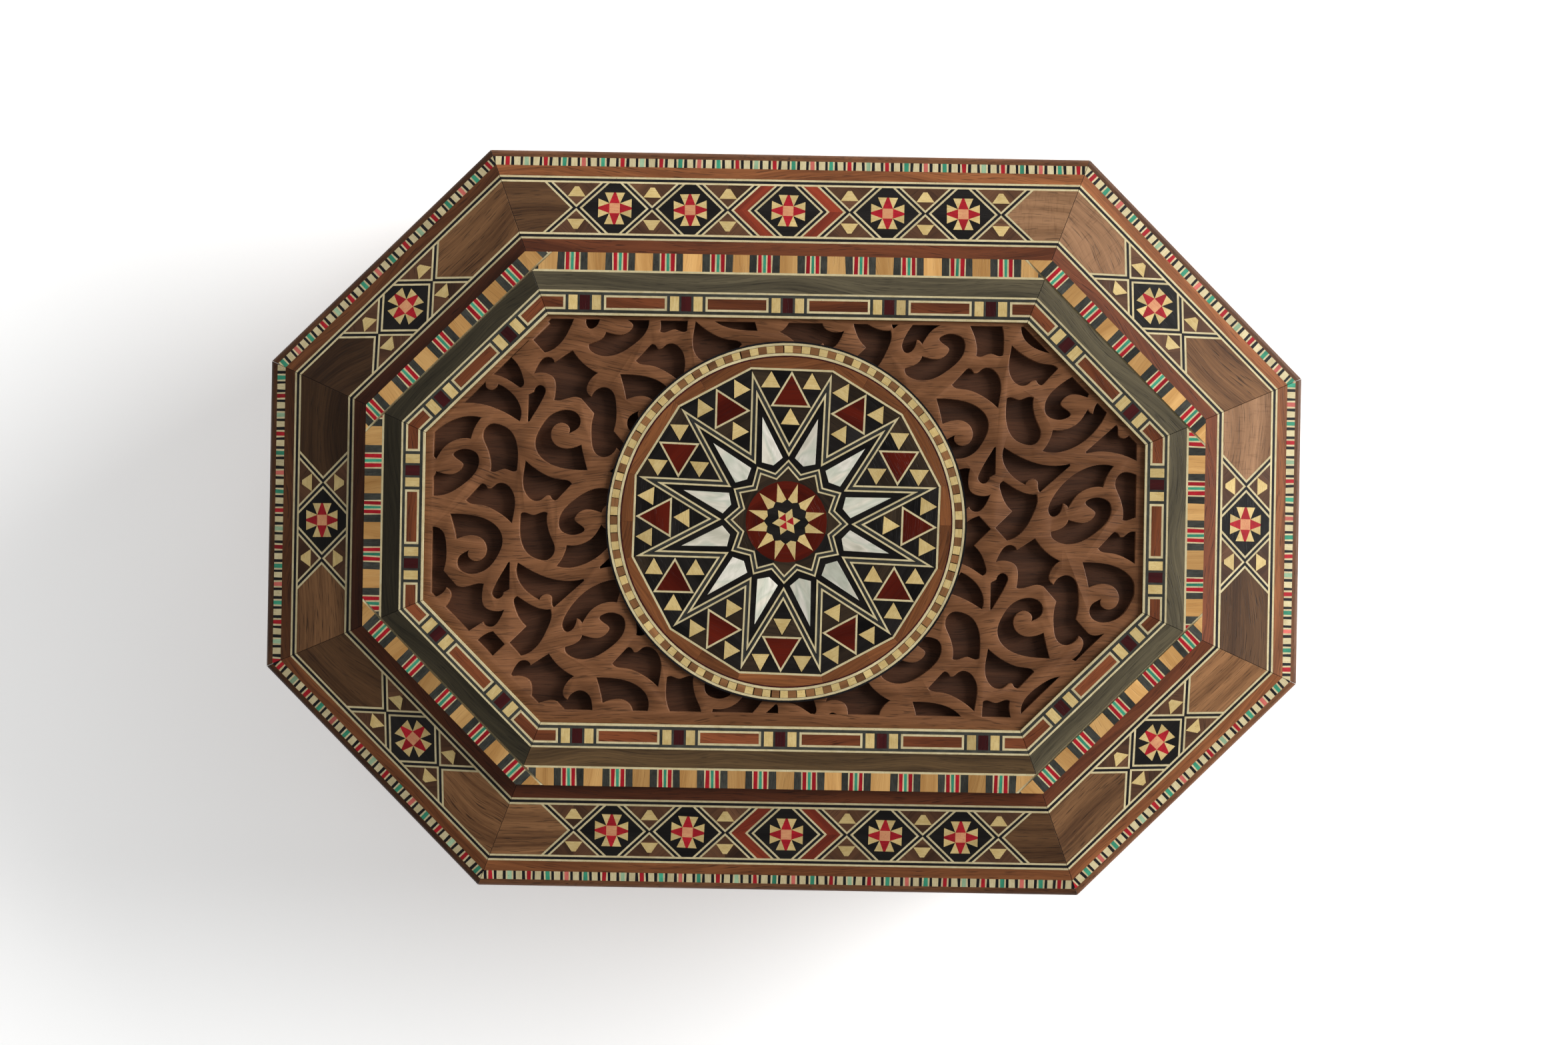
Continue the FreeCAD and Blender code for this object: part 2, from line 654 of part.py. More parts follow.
def medallion():
    seat = CENTRE + UP * (HEIGHT - FRET_DROP - FRET_THICK)
    board = Part.makeCylinder(PLUG_R, FRET_THICK, seat)
    board = board.fuse(Part.makeCylinder(MEDALLION_R, FLANGE, seat + UP * FRET_THICK)).removeSplitter()
    keep("medallion_board", board.Solids)
    keep("medallion_border_ring", plate(disc(MEDALLION_R), [disc(BORDER_R)]))

    half = TURN / 2
    line = FIELD_LINE / math.cos(math.radians(half))
    field = ring_of(FIELD_R, half)
    field_inside = ring_of(FIELD_R - line, half)
    for k in range(POINTS):
        wedge = [polar(FIELD_R, TURN * k - half), polar(FIELD_R, TURN * k + half)]
        wedge += [polar(BORDER_R * 1.1, TURN * k + half), polar(BORDER_R * 1.1, TURN * k - half)]
        keep("medallion_walnut_ring", plate(Part.Face(polygon(wedge)).common(disc(BORDER_R))))

    star = zigzag(STAR_TIP_R, STAR_VALLEY_R, half)
    star_inside = inset_zigzag(STAR_TIP_R, STAR_VALLEY_R, half, STAR_STRING)
    rays = zigzag(RAYS_TIP_R, RAYS_VALLEY_R, 0.0)
    rays_inside = inset_zigzag(RAYS_TIP_R, RAYS_VALLEY_R, 0.0, RAYS_STRING)
    keep("medallion_stringing", plate(field, [field_inside]))
    keep("medallion_stringing", plate(star, [star_inside]))
    keep("medallion_stringing", plate(rays, [rays_inside]))

    kites, triangles, petals = [], [], []
    for k in range(POINTS):
        red, bones = cell_triangles(TURN * k)
        triangles += [red] + bones
        keep("medallion_red_triangles", plate(red))
        for bone in bones:
            keep("medallion_bone_triangles", plate(bone))
        turn = TURN * k + half
        kites.append([
            polar(KITE_TIP_R, turn),
            polar(KITE_SHOULDER_R, turn + KITE_SHOULDER_TURN),
            polar(KITE_ROOT_R, turn),
            polar(KITE_SHOULDER_R, turn - KITE_SHOULDER_TURN),
        ])
        petals.append([
            polar(PETAL_TIP_R, turn),
            polar(PETAL_SHOULDER_R, turn + PETAL_SHOULDER_TURN),
            polar(PETAL_ROOT_R, turn),
            polar(PETAL_SHOULDER_R, turn - PETAL_SHOULDER_TURN),
        ])
    for kite in kites:
        keep("pearl_kites", plate(kite))
    for petal in petals:
        keep("medallion_petals", plate(petal))
    keep("medallion_ebony_ground", plate(field_inside, [star] + triangles))
    keep("medallion_ebony_ground", plate(star_inside, [rays] + kites))
    keep("medallion_ebony_ground", plate(rays_inside, [disc(ROUNDEL_R)]))
    keep("medallion_roundel", plate(disc(ROUNDEL_R), [disc(ROSE_R)] + petals))
    keep("medallion_rose", plate(disc(ROSE_R)))


# ---- body ------------------------------------------------------------------------------
def body():
    high = PART_LINE - PART_GAP / 2
    face = FACE_INSET + VENEER
    keep("base_board", [octagon(face, 0.0, BASE_THICK)])
    keep("velvet_body_lining", [octagon(WALL_INNER, BASE_THICK, BASE_THICK + PAD_THICK)])
    half_rows = [
        ("body_check_bands", CHECK_ROW),
        ("body_walnut_veneer", OUTER_WALNUT_ROW),
        ("body_striped_bands", STRIPED_ROW),
        ("body_walnut_veneer", INNER_WALNUT_ROW),
        ("body_stringing", STRING_ROW),
    ]
    mosaic_row = high - PLINTH_HEIGHT - 2 * sum(tall for _, tall in half_rows)
    rows = half_rows + [("body_mosaic_bands", mosaic_row)] + half_rows[::-1]
    for i, (name, _, _, _) in enumerate(SIDES):
        wall = [(face, BASE_THICK), (WALL_INNER, BASE_THICK), (WALL_INNER, high), (face, high)]
        keep("body_wall_" + name, [mitred(i, wall)])
        inner = WALL_INNER + LINING
        low = BASE_THICK + PAD_THICK
        panel = [(WALL_INNER, low), (inner, low), (inner, high), (WALL_INNER, high)]
        keep("velvet_body_lining", [mitred(i, panel)])
        plinth = path(i, [
            (face, 0.0),
            ("line", (PLINTH_INSET, 0.0)),
            ("line", (PLINTH_INSET, PLINTH_HEIGHT - PLINTH_RADIUS)),
            ("arc", (PLINTH_INSET + PLINTH_RADIUS * 0.293, PLINTH_HEIGHT - PLINTH_RADIUS * 0.293),
             (PLINTH_INSET + PLINTH_RADIUS, PLINTH_HEIGHT)),
            ("line", (face, PLINTH_HEIGHT)),
            ("line", (face, 0.0)),
        ])
        keep("plinth_moulding", [moulded(i, plinth)])
        z = PLINTH_HEIGHT
        for node, tall in rows:
            keep(node, [mitred(i, [(FACE_INSET, z), (face, z), (face, z + tall), (FACE_INSET, z + tall)])])
            z += tall


# ---- hinges ----------------------------------------------------------------------------
AXIS_Y = DEPTH / 2 - FACE_INSET


def along_x(radius, x0, x1):
    return Part.makeCylinder(radius, x1 - x0, V(x0, AXIS_Y, PART_LINE), V(1, 0, 0))


def leaf(x, up):
    """One leaf: up is 1 for the lid's and -1 for the body's."""
    low = PART_LINE + up * PART_GAP / 2
    z0 = low if up > 0 else low - LEAF_THICK
    half = HINGE_LONG / 2
    blank = Part.makeBox(HINGE_LONG, LEAF_REACH, LEAF_THICK, V(x - half, AXIS_Y - LEAF_REACH, z0))
    mid = LID_KNUCKLE / 2
    if up > 0:
        own = [along_x(KNUCKLE_R, x - mid, x + mid)]
        others = [(x - half, x - mid), (x + mid, x + half)]
        bore = along_x(PIN_R + PIN_CLEAR, x - half, x + half)
    else:
        own = [
            along_x(KNUCKLE_R, x - half, x - mid - KNUCKLE_GAP),
            along_x(KNUCKLE_R, x + mid + KNUCKLE_GAP, x + half),
        ]
        others = [(x - mid - KNUCKLE_GAP, x + mid + KNUCKLE_GAP)]
        bore = along_x(PIN_R, x - half, x + half)
    for x0, x1 in others:
        blank = blank.cut(along_x(KNUCKLE_R + KNUCKLE_ROOM, x0, x1))
    shape = blank
    for knuckle in own:
        shape = shape.fuse(knuckle)
    shape = shape.cut(bore)
    return shape.removeSplitter()


def screw(x, up):
    """A countersunk screw through a leaf, pointing into the wood."""
    head = LEAF_THICK
    y = AXIS_Y - SCREW_BACK
    z = PART_LINE + up * PART_GAP / 2
    cone = Part.makeCone(SCREW_HEAD_R, SCREW_R, head, V(x, y, z), V(0, 0, up))
    shank = Part.makeCylinder(SCREW_R, SCREW_LONG, V(x, y, z), V(0, 0, up))
    return cone.fuse(shank).removeSplitter()


def cut_from(node, tools):
    NODES[node] = [s for solid in NODES[node] for s in solid.cut(Part.makeCompound(tools)).Solids]


def hinges():
    half = HINGE_LONG / 2
    for x in (-HINGE_X, HINGE_X):
        for up, who in ((-1, "body"), (1, "lid")):
            plate_z = PART_LINE + up * PART_GAP / 2 - (LEAF_THICK if up < 0 else 0.0)
            corner_of_leaf = V(x - half, AXIS_Y - LEAF_REACH, plate_z)
            pocket = Part.makeBox(HINGE_LONG, LEAF_REACH, LEAF_THICK, corner_of_leaf)
            room = along_x(KNUCKLE_R + KNUCKLE_ROOM, x - half - 0.3, x + half + 0.3)
            screws = [screw(x + k * SCREW_PITCH, up) for k in (-1, 0, 1)]
            metal = leaf(x, up)
            for s in screws:
                metal = metal.cut(s)
            keep(f"hinge_{who}_leaves", metal.Solids)
            keep(f"hinge_{who}_screws", screws)
            cut_from(f"{who}_wall_back", [pocket, room] + screws)
            if who == "body":
                cut_from("body_check_bands", [room, pocket])
            else:
                cut_from("lid_side_veneer", [room, pocket])
                cut_from("lid_rim_moulding", [room])
        keep("hinge_pins", [along_x(PIN_R, x - half, x + half)])


def bevel_the_stop():
    """The lid's overhang behind the hinge line is bevelled, and stops the lid just past upright."""
    far = 8.0
    rise = far * math.tan(math.radians(STOP_BEVEL))
    low, back = V(-LENGTH, AXIS_Y, PART_LINE), V(-LENGTH, AXIS_Y + far, PART_LINE)
    wedge = Part.Face(polygon([low, back, back + V(0, 0, rise)])).extrude(V(2 * LENGTH, 0, 0))
    cut_from("lid_rim_moulding", [wedge])


def main():
    body()
    lid_sides()
    lid_top()
    fret_panel()
    medallion()
    hinges()
    bevel_the_stop()
    os.makedirs("parts", exist_ok=True)
    for old in os.listdir("parts"):
        if old.endswith(".step"):
            os.remove(os.path.join("parts", old))
    for node, solids in sorted(NODES.items()):
        shape = solids[0] if len(solids) == 1 else Part.makeCompound(solids)
        if not shape.isValid():
            print("invalid shape", node)
        shape.exportStep(f"parts/{node}.step")
    print(len(NODES), "nodes", sum(len(s) for s in NODES.values()), "solids")


main()
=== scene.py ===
"""The looks of an octagonal marquetry box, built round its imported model, in mm until a mesh is made."""
import bpy
import bmesh
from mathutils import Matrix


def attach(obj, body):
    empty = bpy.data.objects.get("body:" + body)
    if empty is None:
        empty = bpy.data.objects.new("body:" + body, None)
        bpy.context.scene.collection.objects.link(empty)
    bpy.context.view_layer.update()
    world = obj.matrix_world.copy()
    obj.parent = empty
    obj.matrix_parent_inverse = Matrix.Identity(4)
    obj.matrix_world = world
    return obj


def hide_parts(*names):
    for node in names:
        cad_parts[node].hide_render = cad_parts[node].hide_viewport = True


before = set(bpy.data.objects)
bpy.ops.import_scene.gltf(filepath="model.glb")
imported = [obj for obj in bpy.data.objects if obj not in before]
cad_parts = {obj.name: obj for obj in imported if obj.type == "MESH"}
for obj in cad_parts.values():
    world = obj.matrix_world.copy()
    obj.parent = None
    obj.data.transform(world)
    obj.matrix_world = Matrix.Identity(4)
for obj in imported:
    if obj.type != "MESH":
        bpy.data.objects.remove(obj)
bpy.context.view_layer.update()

import copy
import math
import random
from mathutils import Vector

random.seed(11)
MM = 0.001
UP = Vector((0.0, 0.0, 1.0))
ROOT2 = math.sqrt(2.0)

# ---- the box, as in the CAD model ----
LENGTH, DEPTH, HEIGHT, CORNER_CUT = 280.0, 200.0, 100.0, 58.5
PART_LINE, PART_GAP = 66.15, 0.3
FACE_INSET, VENEER, WALL_INNER, LINING = 6.0, 0.8, 14.0, 1.2
BASE_THICK, PAD_THICK = 6.0, 2.0
PLINTH_INSET, PLINTH_HEIGHT, PLINTH_RADIUS = 2.0, 10.0, 4.0
BODY_TOP, LID_BOTTOM = PART_LINE - PART_GAP / 2, PART_LINE + PART_GAP / 2
CHECK_ROW, OUTER_WALNUT_ROW, STRIPED_ROW, INNER_WALNUT_ROW, STRING_ROW = 2.3, 9.0, 4.4, 3.8, 1.7
RIM_INSET, RIM_TOP, RIM_RADIUS, LID_WALL_TOP, LID_LINING = 1.5, 74.0, 4.0, 85.0, 2.0
CHECK_BAND, OUTER_WALNUT, OUTER_STRING, MOSAIC, INNER_STRING = 1.8, 4.1, 6.9, 8.65, 22.2
INNER_WALNUT, STRIPED_BAND, STAINED_BAND, BANDING, FRET_EDGE = 24.0, 27.7, 32.9, 37.7, 44.2
EDGE_ROUND, INLAY, STEP = 1.2, 1.0, 3.0
SLOPE, RAISED_SLOPE = math.tan(math.radians(14.5)), math.tan(math.radians(7.0))
FRET_DROP, FLANGE = 1.0, 0.3
LOZENGE_HALF, CHEVRON_WIDE, TIP_GAP, STRING_WIDE = 9.85, 6.2, 0.8, 1.75
MOSAIC_SHIFT = [2.0, 2.5, 1.7, 1.0, 0.2, 4.5, 1.6, 1.1]
DIAGONAL = (LENGTH + DEPTH - 2 * CORNER_CUT) / 2 / ROOT2
# each side: its direction in degrees, its distance, and the scale of the lid top's insets
SIDES = [
    (-90, DEPTH / 2, 1.025), (-45, DIAGONAL, 1.0), (0, LENGTH / 2, 0.985), (45, DIAGONAL, 1.0),
    (90, DEPTH / 2, 1.025), (135, DIAGONAL, 1.0), (180, LENGTH / 2, 0.985), (225, DIAGONAL, 1.0),
]
LONG_SIDES = (0, 4)
BACK = 4
MITRE_GAP = 0.07
SMALLEST = 0.01
SUNK = 0.06
CHAMFER = 0.04
SHARP = 35.0
HINGE_X, HINGE_LONG, HINGE_ROOM, AXIS_INSET = 45.0, 20.0, 2.3, 6.0
STOP_BEVEL, NOTCH_START = 12.0, 72
HINGE_CUT = HINGE_LONG / 2 + PART_GAP
HINGE_CUTS = [-HINGE_X - HINGE_CUT, -HINGE_X + HINGE_CUT, HINGE_X - HINGE_CUT, HINGE_X + HINGE_CUT]

# ---- medallion, as in the CAD model ----
CENTRE = Vector((0.6, 0.2, 0.0))
MEDALLION_TURN = -1.2
BORDER_R, FIELD_R, FIELD_LINE = 44.2, 42.5, 0.55
STAR_TIP_R, STAR_VALLEY_R, STAR_STRING = 41.4, 21.0, 1.75
KITE_TIP_R, KITE_SHOULDER_R, KITE_SHOULDER_TURN, KITE_ROOT_R = 28.8, 17.2, 9.6, 15.5
RAYS_TIP_R, RAYS_VALLEY_R, RAYS_STRING = 16.7, 13.4, 1.6
ROUNDEL_R, PETAL_TIP_R, PETAL_SHOULDER_R, PETAL_SHOULDER_TURN, PETAL_ROOT_R = 10.9, 10.6, 5.95, 13.2, 5.2
ROSE_R = 3.8
MEDALLION_INLAY = 0.6
FINE_CHAMFER, KITE_CHAMFER = 0.03, 0.05
CELL_ROWS, CELL_BROWN, GROUND_BROWN, GROUND_GAP, ROUNDEL_FACET = 4, 0.5, 0.6, 0.1, 5.0
BONE_SHARE, BONE_STRAY, RED_SHARE, RED_FRAME = 0.9, 0.08, 0.985, 0.5
TURN = 30.0
ROUNDEL_POINTS = (TURN / 2, ROUNDEL_FACET, -ROUNDEL_FACET, -TURN / 2)


# ---- points on the octagon ----
def normal(i):
    angle = math.radians(SIDES[i % 8][0])
    return Vector((round(math.cos(angle), 12), round(math.sin(angle), 12), 0.0))


def tangent(i):
    n = normal(i)
    return Vector((-n.y, n.x, 0.0))


def reach(i, inset, top):
    return SIDES[i % 8][1] - (SIDES[i % 8][2] if top else 1.0) * inset


def corner(i, inset, top=False):
    """Where side i meets the next one."""
    a, b = normal(i), normal(i + 1)
    da, db = reach(i, inset, top), reach(i + 1, inset, top)
    det = a.x * b.y - a.y * b.x
    return Vector(((da * b.y - db * a.y) / det, (a.x * db - b.x * da) / det, 0.0))


def raised_top(inset):
    return HEIGHT - max(0.0, BANDING - inset) * RAISED_SLOPE


def slope_top(inset):
    return raised_top(STRIPED_BAND) - STEP - (STRIPED_BAND - inset) * SLOPE


def lift(point, z):
    return Vector((point.x, point.y, z))


# ---- solid pieces, gathered by material ----
def facing(points):
    """The normal of a flat outline."""
    total = Vector((0.0, 0.0, 0.0))
    for k, p in enumerate(points):
        total += p.cross(points[(k + 1) % len(points)])
    return total.normalized()


def inset(points, up, width):
    """A flat outline moved inwards."""
    moved = []
    for k, p in enumerate(points):
        a = up.cross((p - points[k - 1]).normalized())
        b = up.cross((points[(k + 1) % len(points)] - p).normalized())
        moved.append(p + (a + b) * (width / max(0.3, 1.0 + a.dot(b))))
    return moved


def skin(start, count, rings):
    """Faces through rings of count points from number start, closed at the first and last ring."""
    faces = []
    last = start + (rings - 1) * count
    for low in range(start, last, count):
        for k in range(count):
            m = (k + 1) % count
            faces.append((low + k, low + m, low + count + m, low + count + k))
    faces.append(tuple(range(start + count - 1, start - 1, -1)))
    faces.append(tuple(range(last, last + count)))
    return faces


def stand_in(name, mesh, material, body, nodes, sharp=None):
    """An object on a body in place of CAD nodes; given sharp, edges under that many degrees are smooth."""
    if sharp is not None:
        mesh.shade_smooth()
        mesh.set_sharp_from_angle(angle=math.radians(sharp))
    mesh.materials.append(material)
    piece = bpy.data.objects.new(name, mesh)
    bpy.context.scene.collection.objects.link(piece)
    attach(piece, body)
    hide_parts(*nodes)
    return piece


class Pieces:
    """Solid pieces of one material on one body, gathered into one object."""

    known = {}

    def __init__(self, kind, body):
        self.kind, self.body = kind, body
        self.points, self.faces, self.grain, self.tone = [], [], [], []
        self.nodes = set()
        self.spread = KINDS[kind][2]
        self.smooth = False

    def solid(self, rings, along, up, tone=None):
        """A closed piece through rings of points, from its back to its face."""
        start = len(self.points)
        across = up.cross(along)
        shift = [random.uniform(0.0, 900.0) for _ in range(3)]
        shade = (tone or 1.0) * max(0.5, random.gauss(1.0, self.spread))
        for ring in rings:
            for p in ring:
                self.points.append(p)
                self.grain.append([p.dot(way) + far for way, far in zip((along, across, up), shift)])
                self.tone.append(shade)
        self.faces += skin(start, len(rings[0]), len(rings))

    def prism(self, upper, drop, along, chamfer=0.0, tone=None):
        """A flat piece whose face is upper; drop goes from its face to its back."""
        up = facing(upper)
        if up.dot(drop) > 0:
            upper, up = upper[::-1], -up
        lower = [p + drop for p in upper]
        if chamfer:
            rings = [lower, [p - up * chamfer for p in upper], inset(upper, up, chamfer)]
        else:
            rings = [lower, upper]
        self.solid(rings, along, up, tone)

    def build(self):
        name = f"{self.kind}_{self.body}"
        mesh = bpy.data.meshes.new(name)
        mesh.from_pydata([p * MM for p in self.points], [], self.faces)
        grain = mesh.attributes.new("grain", "FLOAT_VECTOR", "POINT")
        grain.data.foreach_set("vector", [c for g in self.grain for c in g])
        tone = mesh.attributes.new("tone", "FLOAT", "POINT")
        tone.data.foreach_set("value", self.tone)
        material, slot, _ = KINDS[self.kind]
        stand_in(name, mesh, material, self.body, sorted(self.nodes), SHARP if self.smooth else None)


def pieces(kind, body, node):
    """The pieces of a kind on a body; node is the CAD node they stand for."""
    key = (kind, body)
    if key not in Pieces.known:
        Pieces.known[key] = Pieces(kind, body)
    Pieces.known[key].nodes.add(node)
    return Pieces.known[key]


# ---- strips along a side ----
def clip(outline, a, b, side):
    """The part of an outline on one side of the line s = a + b t."""
    kept = []
    for k, p in enumerate(outline):
        q = outline[(k + 1) % len(outline)]
        dp, dq = side * (p[0] - a - b * p[1]), side * (q[0] - a - b * q[1])
        if dp >= 0:
            kept.append(p)
        if (dp > 0 > dq) or (dp < 0 < dq):
            share = dp / (dp - dq)
            kept.append((p[0] + (q[0] - p[0]) * share, p[1] + (q[1] - p[1]) * share))
    return kept


def area(outline):
    total = 0.0
    for k, p in enumerate(outline):
        q = outline[(k + 1) % len(outline)]
        total += p[0] * q[1] - q[0] * p[1]
    return abs(total) / 2


def bar(s0, s1, t0, t1):
    """A rectangle on a strip."""
    return [(s0, t0), (s1, t0), (s1, t1), (s0, t1)]


class Strip:
    """A flat strip along one side between its mitres: s runs along it from its middle, t across it."""

    def __init__(self, body, node, i, origin, across, drop, left, right):
        self.body, self.node, self.side = body, node, i
        self.along = tangent(i)
        self.middle = (left[0] + right[0]) / 2
        self.origin = origin
        self.across, self.drop = across, drop
        self.left, self.right = left, right
        self.surface = None
        self.spans = [(-LENGTH, LENGTH)]
        self.slide(self.middle)

    def slide(self, distance):
        """Moves the zero of s along the strip."""
        self.origin = self.origin + self.along * distance
        self.left = (self.left[0] - distance, self.left[1])
        self.right = (self.right[0] - distance, self.right[1])

    def raised(self, height):
        """The same strip, a little proud of the others."""
        other = copy.copy(self)
        other.origin = self.origin - self.drop.normalized() * height
        return other

    def place(self, s, t):
        point = self.origin + self.along * s + self.across * t
        return self.surface(point) if self.surface else point

    def lay(self, kind, outline, chamfer=0.0, tone=None, along=None):
        outline = clip(outline, self.left[0] + MITRE_GAP, self.left[1], 1)
        outline = clip(outline, self.right[0] - MITRE_GAP, self.right[1], -1)
        for low, high in self.spans:
            part = clip(clip(outline, low, 0.0, 1), high, 0.0, -1)
            if len(part) < 3 or area(part) < SMALLEST:
                continue
            points = [self.place(s, t) for s, t in part]
            group = pieces(kind, self.body, self.node)
            group.prism(points, self.drop, along or self.along, chamfer, tone)

    def across_way(self):
        return self.across.normalized()

    def slant(self, a, b):
        """The direction of a parts along the strip and b parts across it."""
        return (self.along * a + self.across_way() * b).normalized()

    def line(self, kind, t0, t1, chamfer=0.0, tone=None):
        """A full-length strip of veneer."""
        self.lay(kind, bar(-LENGTH, LENGTH, t0, t1), chamfer, tone)

    def row(self, pattern, t0, t1, jitter, phase):
        """Blocks repeated from a start at phase; each repeat makes up for the last one's drift."""
        low = min(self.left[0] + self.left[1] * t for t in (t0, t1))
        high = max(self.right[0] + self.right[1] * t for t in (t0, t1))
        total = sum(length for _, length in pattern)
        first = math.floor((low - phase) / total)
        s, lean = phase + first * total, 0.0
        for k in range(first, math.ceil((high - phase) / total)):
            stretch = (phase + (k + 1) * total - s) / total
            for kind, length in pattern:
                end = s + length * stretch * (1.0 + random.gauss(0.0, jitter))
                next_lean = random.gauss(0.0, jitter)
                block = [(s - lean, t0), (end - next_lean, t0), (end + next_lean, t1), (s + lean, t1)]
                self.lay(kind, block, along=self.across_way())
                s, lean = end, next_lean


def lid_strip(node, i, start, surface, unit=-1.0):
    """A strip of the lid top from the line at inset start; t grows outwards by unit of inset."""
    scale = SIDES[i][2]
    rise = surface(start + unit) - surface(start)
    across = normal(i) * (-unit * scale) + UP * rise
    along = tangent(i)
    limits = []
    for j in (i - 1, i):
        here, there = [corner(j, line, True).dot(along) for line in (start, start + unit)]
        limits.append((here, there - here))
    origin = normal(i) * reach(i, start, True) + UP * surface(start)
    return Strip("lid", node, i, origin, across, -UP * INLAY, *limits)


def cut_by_neighbours(strip, start, line, surface):
    """Ends a strip of the lid top at its neighbours' line of that inset, not at the mitres."""
    i = strip.side
    limits = []
    for j in (i - 1, i + 1):
        slope = normal(j).dot(strip.along)
        cosine = normal(j).dot(normal(i))
        far = reach(j, line, True)
        places = [(far - cosine * reach(i, start - t, True)) / slope for t in (0.0, 1.0)]
        limits.append((places[0] - strip.middle, places[1] - places[0]))
    strip.left, strip.right = limits

    def settle(point):
        depth = min((SIDES[j][1] - normal(j).dot(point)) / SIDES[j][2] for j in range(8))
        return lift(point, surface(depth))

    strip.surface = settle


def wall_strip(body, node, i, z):
    """A strip of the outside of a wall, from height z upwards."""
    along = tangent(i)
    limits = [(corner(j, FACE_INSET).dot(along), 0.0) for j in (i - 1, i)]
    origin = normal(i) * reach(i, FACE_INSET, False) + UP * z
    return Strip(body, node, i, origin, UP.copy(), normal(i) * -VENEER, *limits)


# ---- patterns ----
CHECK_PATTERN = []
for check_colour in ("red", "pale_green", "red", "teal", "salmon", "teal"):
    CHECK_PATTERN += [("cream", 0.45), (check_colour, 1.1), ("cream", 0.45)]
    CHECK_PATTERN += [("black", 0.7), ("cream", 1.64), ("black", 0.8)]
CHECK_JITTER, STRIPE_JITTER, CHECK_START = 0.035, 0.04, 30.0
LID_STRIPED_LINE, SIDE_STRIPED_LINE = 0.55, 0.4
STRIPES = [("cream", 0.35), ("red", 1.0), ("cream", 0.4), ("teal", 0.75), ("cream", 0.4), ("red", 1.0)]
STRIPES += [("cream", 0.35)]
PALE_LONG, SLATE_LONG = 4.8, 1.9
STRIPED_PATTERN = [("pale_wood", PALE_LONG), ("slate", SLATE_LONG)] + STRIPES + [("slate", 1.95)]
STRIPE_CENTRE = PALE_LONG + SLATE_LONG + sum(length for _, length in STRIPES) / 2
STRIPE_PHASE = [-5.0, 0.7, -1.5, -0.2, 6.5, 2.9, -2.3, 0.7]
SQUARES = [
    ("cream", 0.6), ("slate", 0.8), ("bone", 2.4), ("slate", 0.6), ("dark_red", 2.7),
    ("slate", 0.6), ("bone", 2.4), ("slate", 0.8), ("cream", 0.6),
]
TRIPLE = [("cream", 0.29), ("black", 0.41), ("cream", 0.30)]


def stringing(strip, wide):
    """Cream, black and cream lines that share the width."""
    t = 0.0
    for kind, share in TRIPLE:
        strip.line(kind, t, t + wide * share)
        t += wide * share


def stripes(strip, t0, t1):
    strip.row(STRIPED_PATTERN, t0, t1, STRIPE_JITTER, STRIPE_PHASE[strip.side] - STRIPE_CENTRE)


def check_row(strip, tall):
    strip.row(CHECK_PATTERN, 0.0, tall, CHECK_JITTER, random.uniform(0.0, CHECK_START))


# ---- mosaic band ----
def turned(outline, d, e):
    """An outline mirrored along the strip where d is -1 and across it where e is -1."""
    return [(s * d, t * e) for s, t in outline]


def figure_places(long_side):
    """Where the lozenges of a side stand, and the gaps between its figures."""
    reach_out = LOZENGE_HALF + TIP_GAP / 2
    if not long_side:
        return [0.0], [-reach_out, reach_out]
    first = LOZENGE_HALF + CHEVRON_WIDE + TIP_GAP + LOZENGE_HALF
    second = first + 2 * LOZENGE_HALF + TIP_GAP
    gaps = [first - reach_out, (first + second) / 2, second + reach_out]
    return [-second, -first, 0.0, first, second], [-x for x in reversed(gaps)] + gaps


def arm(tip, half, d, sharp, share0, share1):
    """A layer of one arm of stringing, between two shares of its width."""
    side = STRING_WIDE / ROOT2
    cut = TIP_GAP / 2
    a = -side + 2 * side * share0
    b = -side + 2 * side * share1
    outline = [(a, 0.0), (b, 0.0), (b + half, half), (a + half, half)]
    if not sharp:
        outline = clip(outline, -cut, 0.0, 1)
    return [(tip + d * s, t) for s, t in outline]


def all_arms(strip, tip, half, d, sharp=False):
    start = 0.0
    for kind, share in TRIPLE:
        layer = arm(tip, half, d, sharp, start, start + share)
        for e in (1, -1):
            if area(layer) > SMALLEST:
                strip.lay(kind, turned(layer, 1, e), along=strip.slant(d, e))
        start += share


ROSETTE_HALF, ROSETTE_ARM, ROSETTE_CORE, ROSETTE_TIP = 4.5, 2.72, 1.42, 0.30
# how far hand work strays: the rosette's turn, its place along and across, and its points
STRAY_TURN, STRAY_ALONG, STRAY_ACROSS, STRAY_POINT = 0.02, 0.15, 0.12, 0.08


def rosette(strip, x):
    """A blush square, four red rays and eight bone pieces beside them."""
    turn = random.gauss(0.0, STRAY_TURN)
    dx, dy = x + random.gauss(0.0, STRAY_ALONG), random.gauss(0.0, STRAY_ACROSS)

    def spun(s, t, quarter):
        for _ in range(quarter):
            s, t = -t, s
        return (dx + s - t * turn, dy + t + s * turn)

    core = ROSETTE_CORE
    strip.lay("blush", [spun(core, core, quarter) for quarter in range(4)])
    for quarter in range(4):
        out = ROSETTE_HALF + random.gauss(0.0, STRAY_POINT)
        ray = [(core, -core), (out, -ROSETTE_TIP), (out, ROSETTE_TIP), (core, core)]
        strip.lay("red", [spun(s, t, quarter) for s, t in ray])
        for d in (1, -1):
            wing = [(core, core * d), (out, ROSETTE_TIP * d), (out, ROSETTE_ARM * d)]
            strip.lay("bone", [spun(s, t, quarter) for s, t in wing])


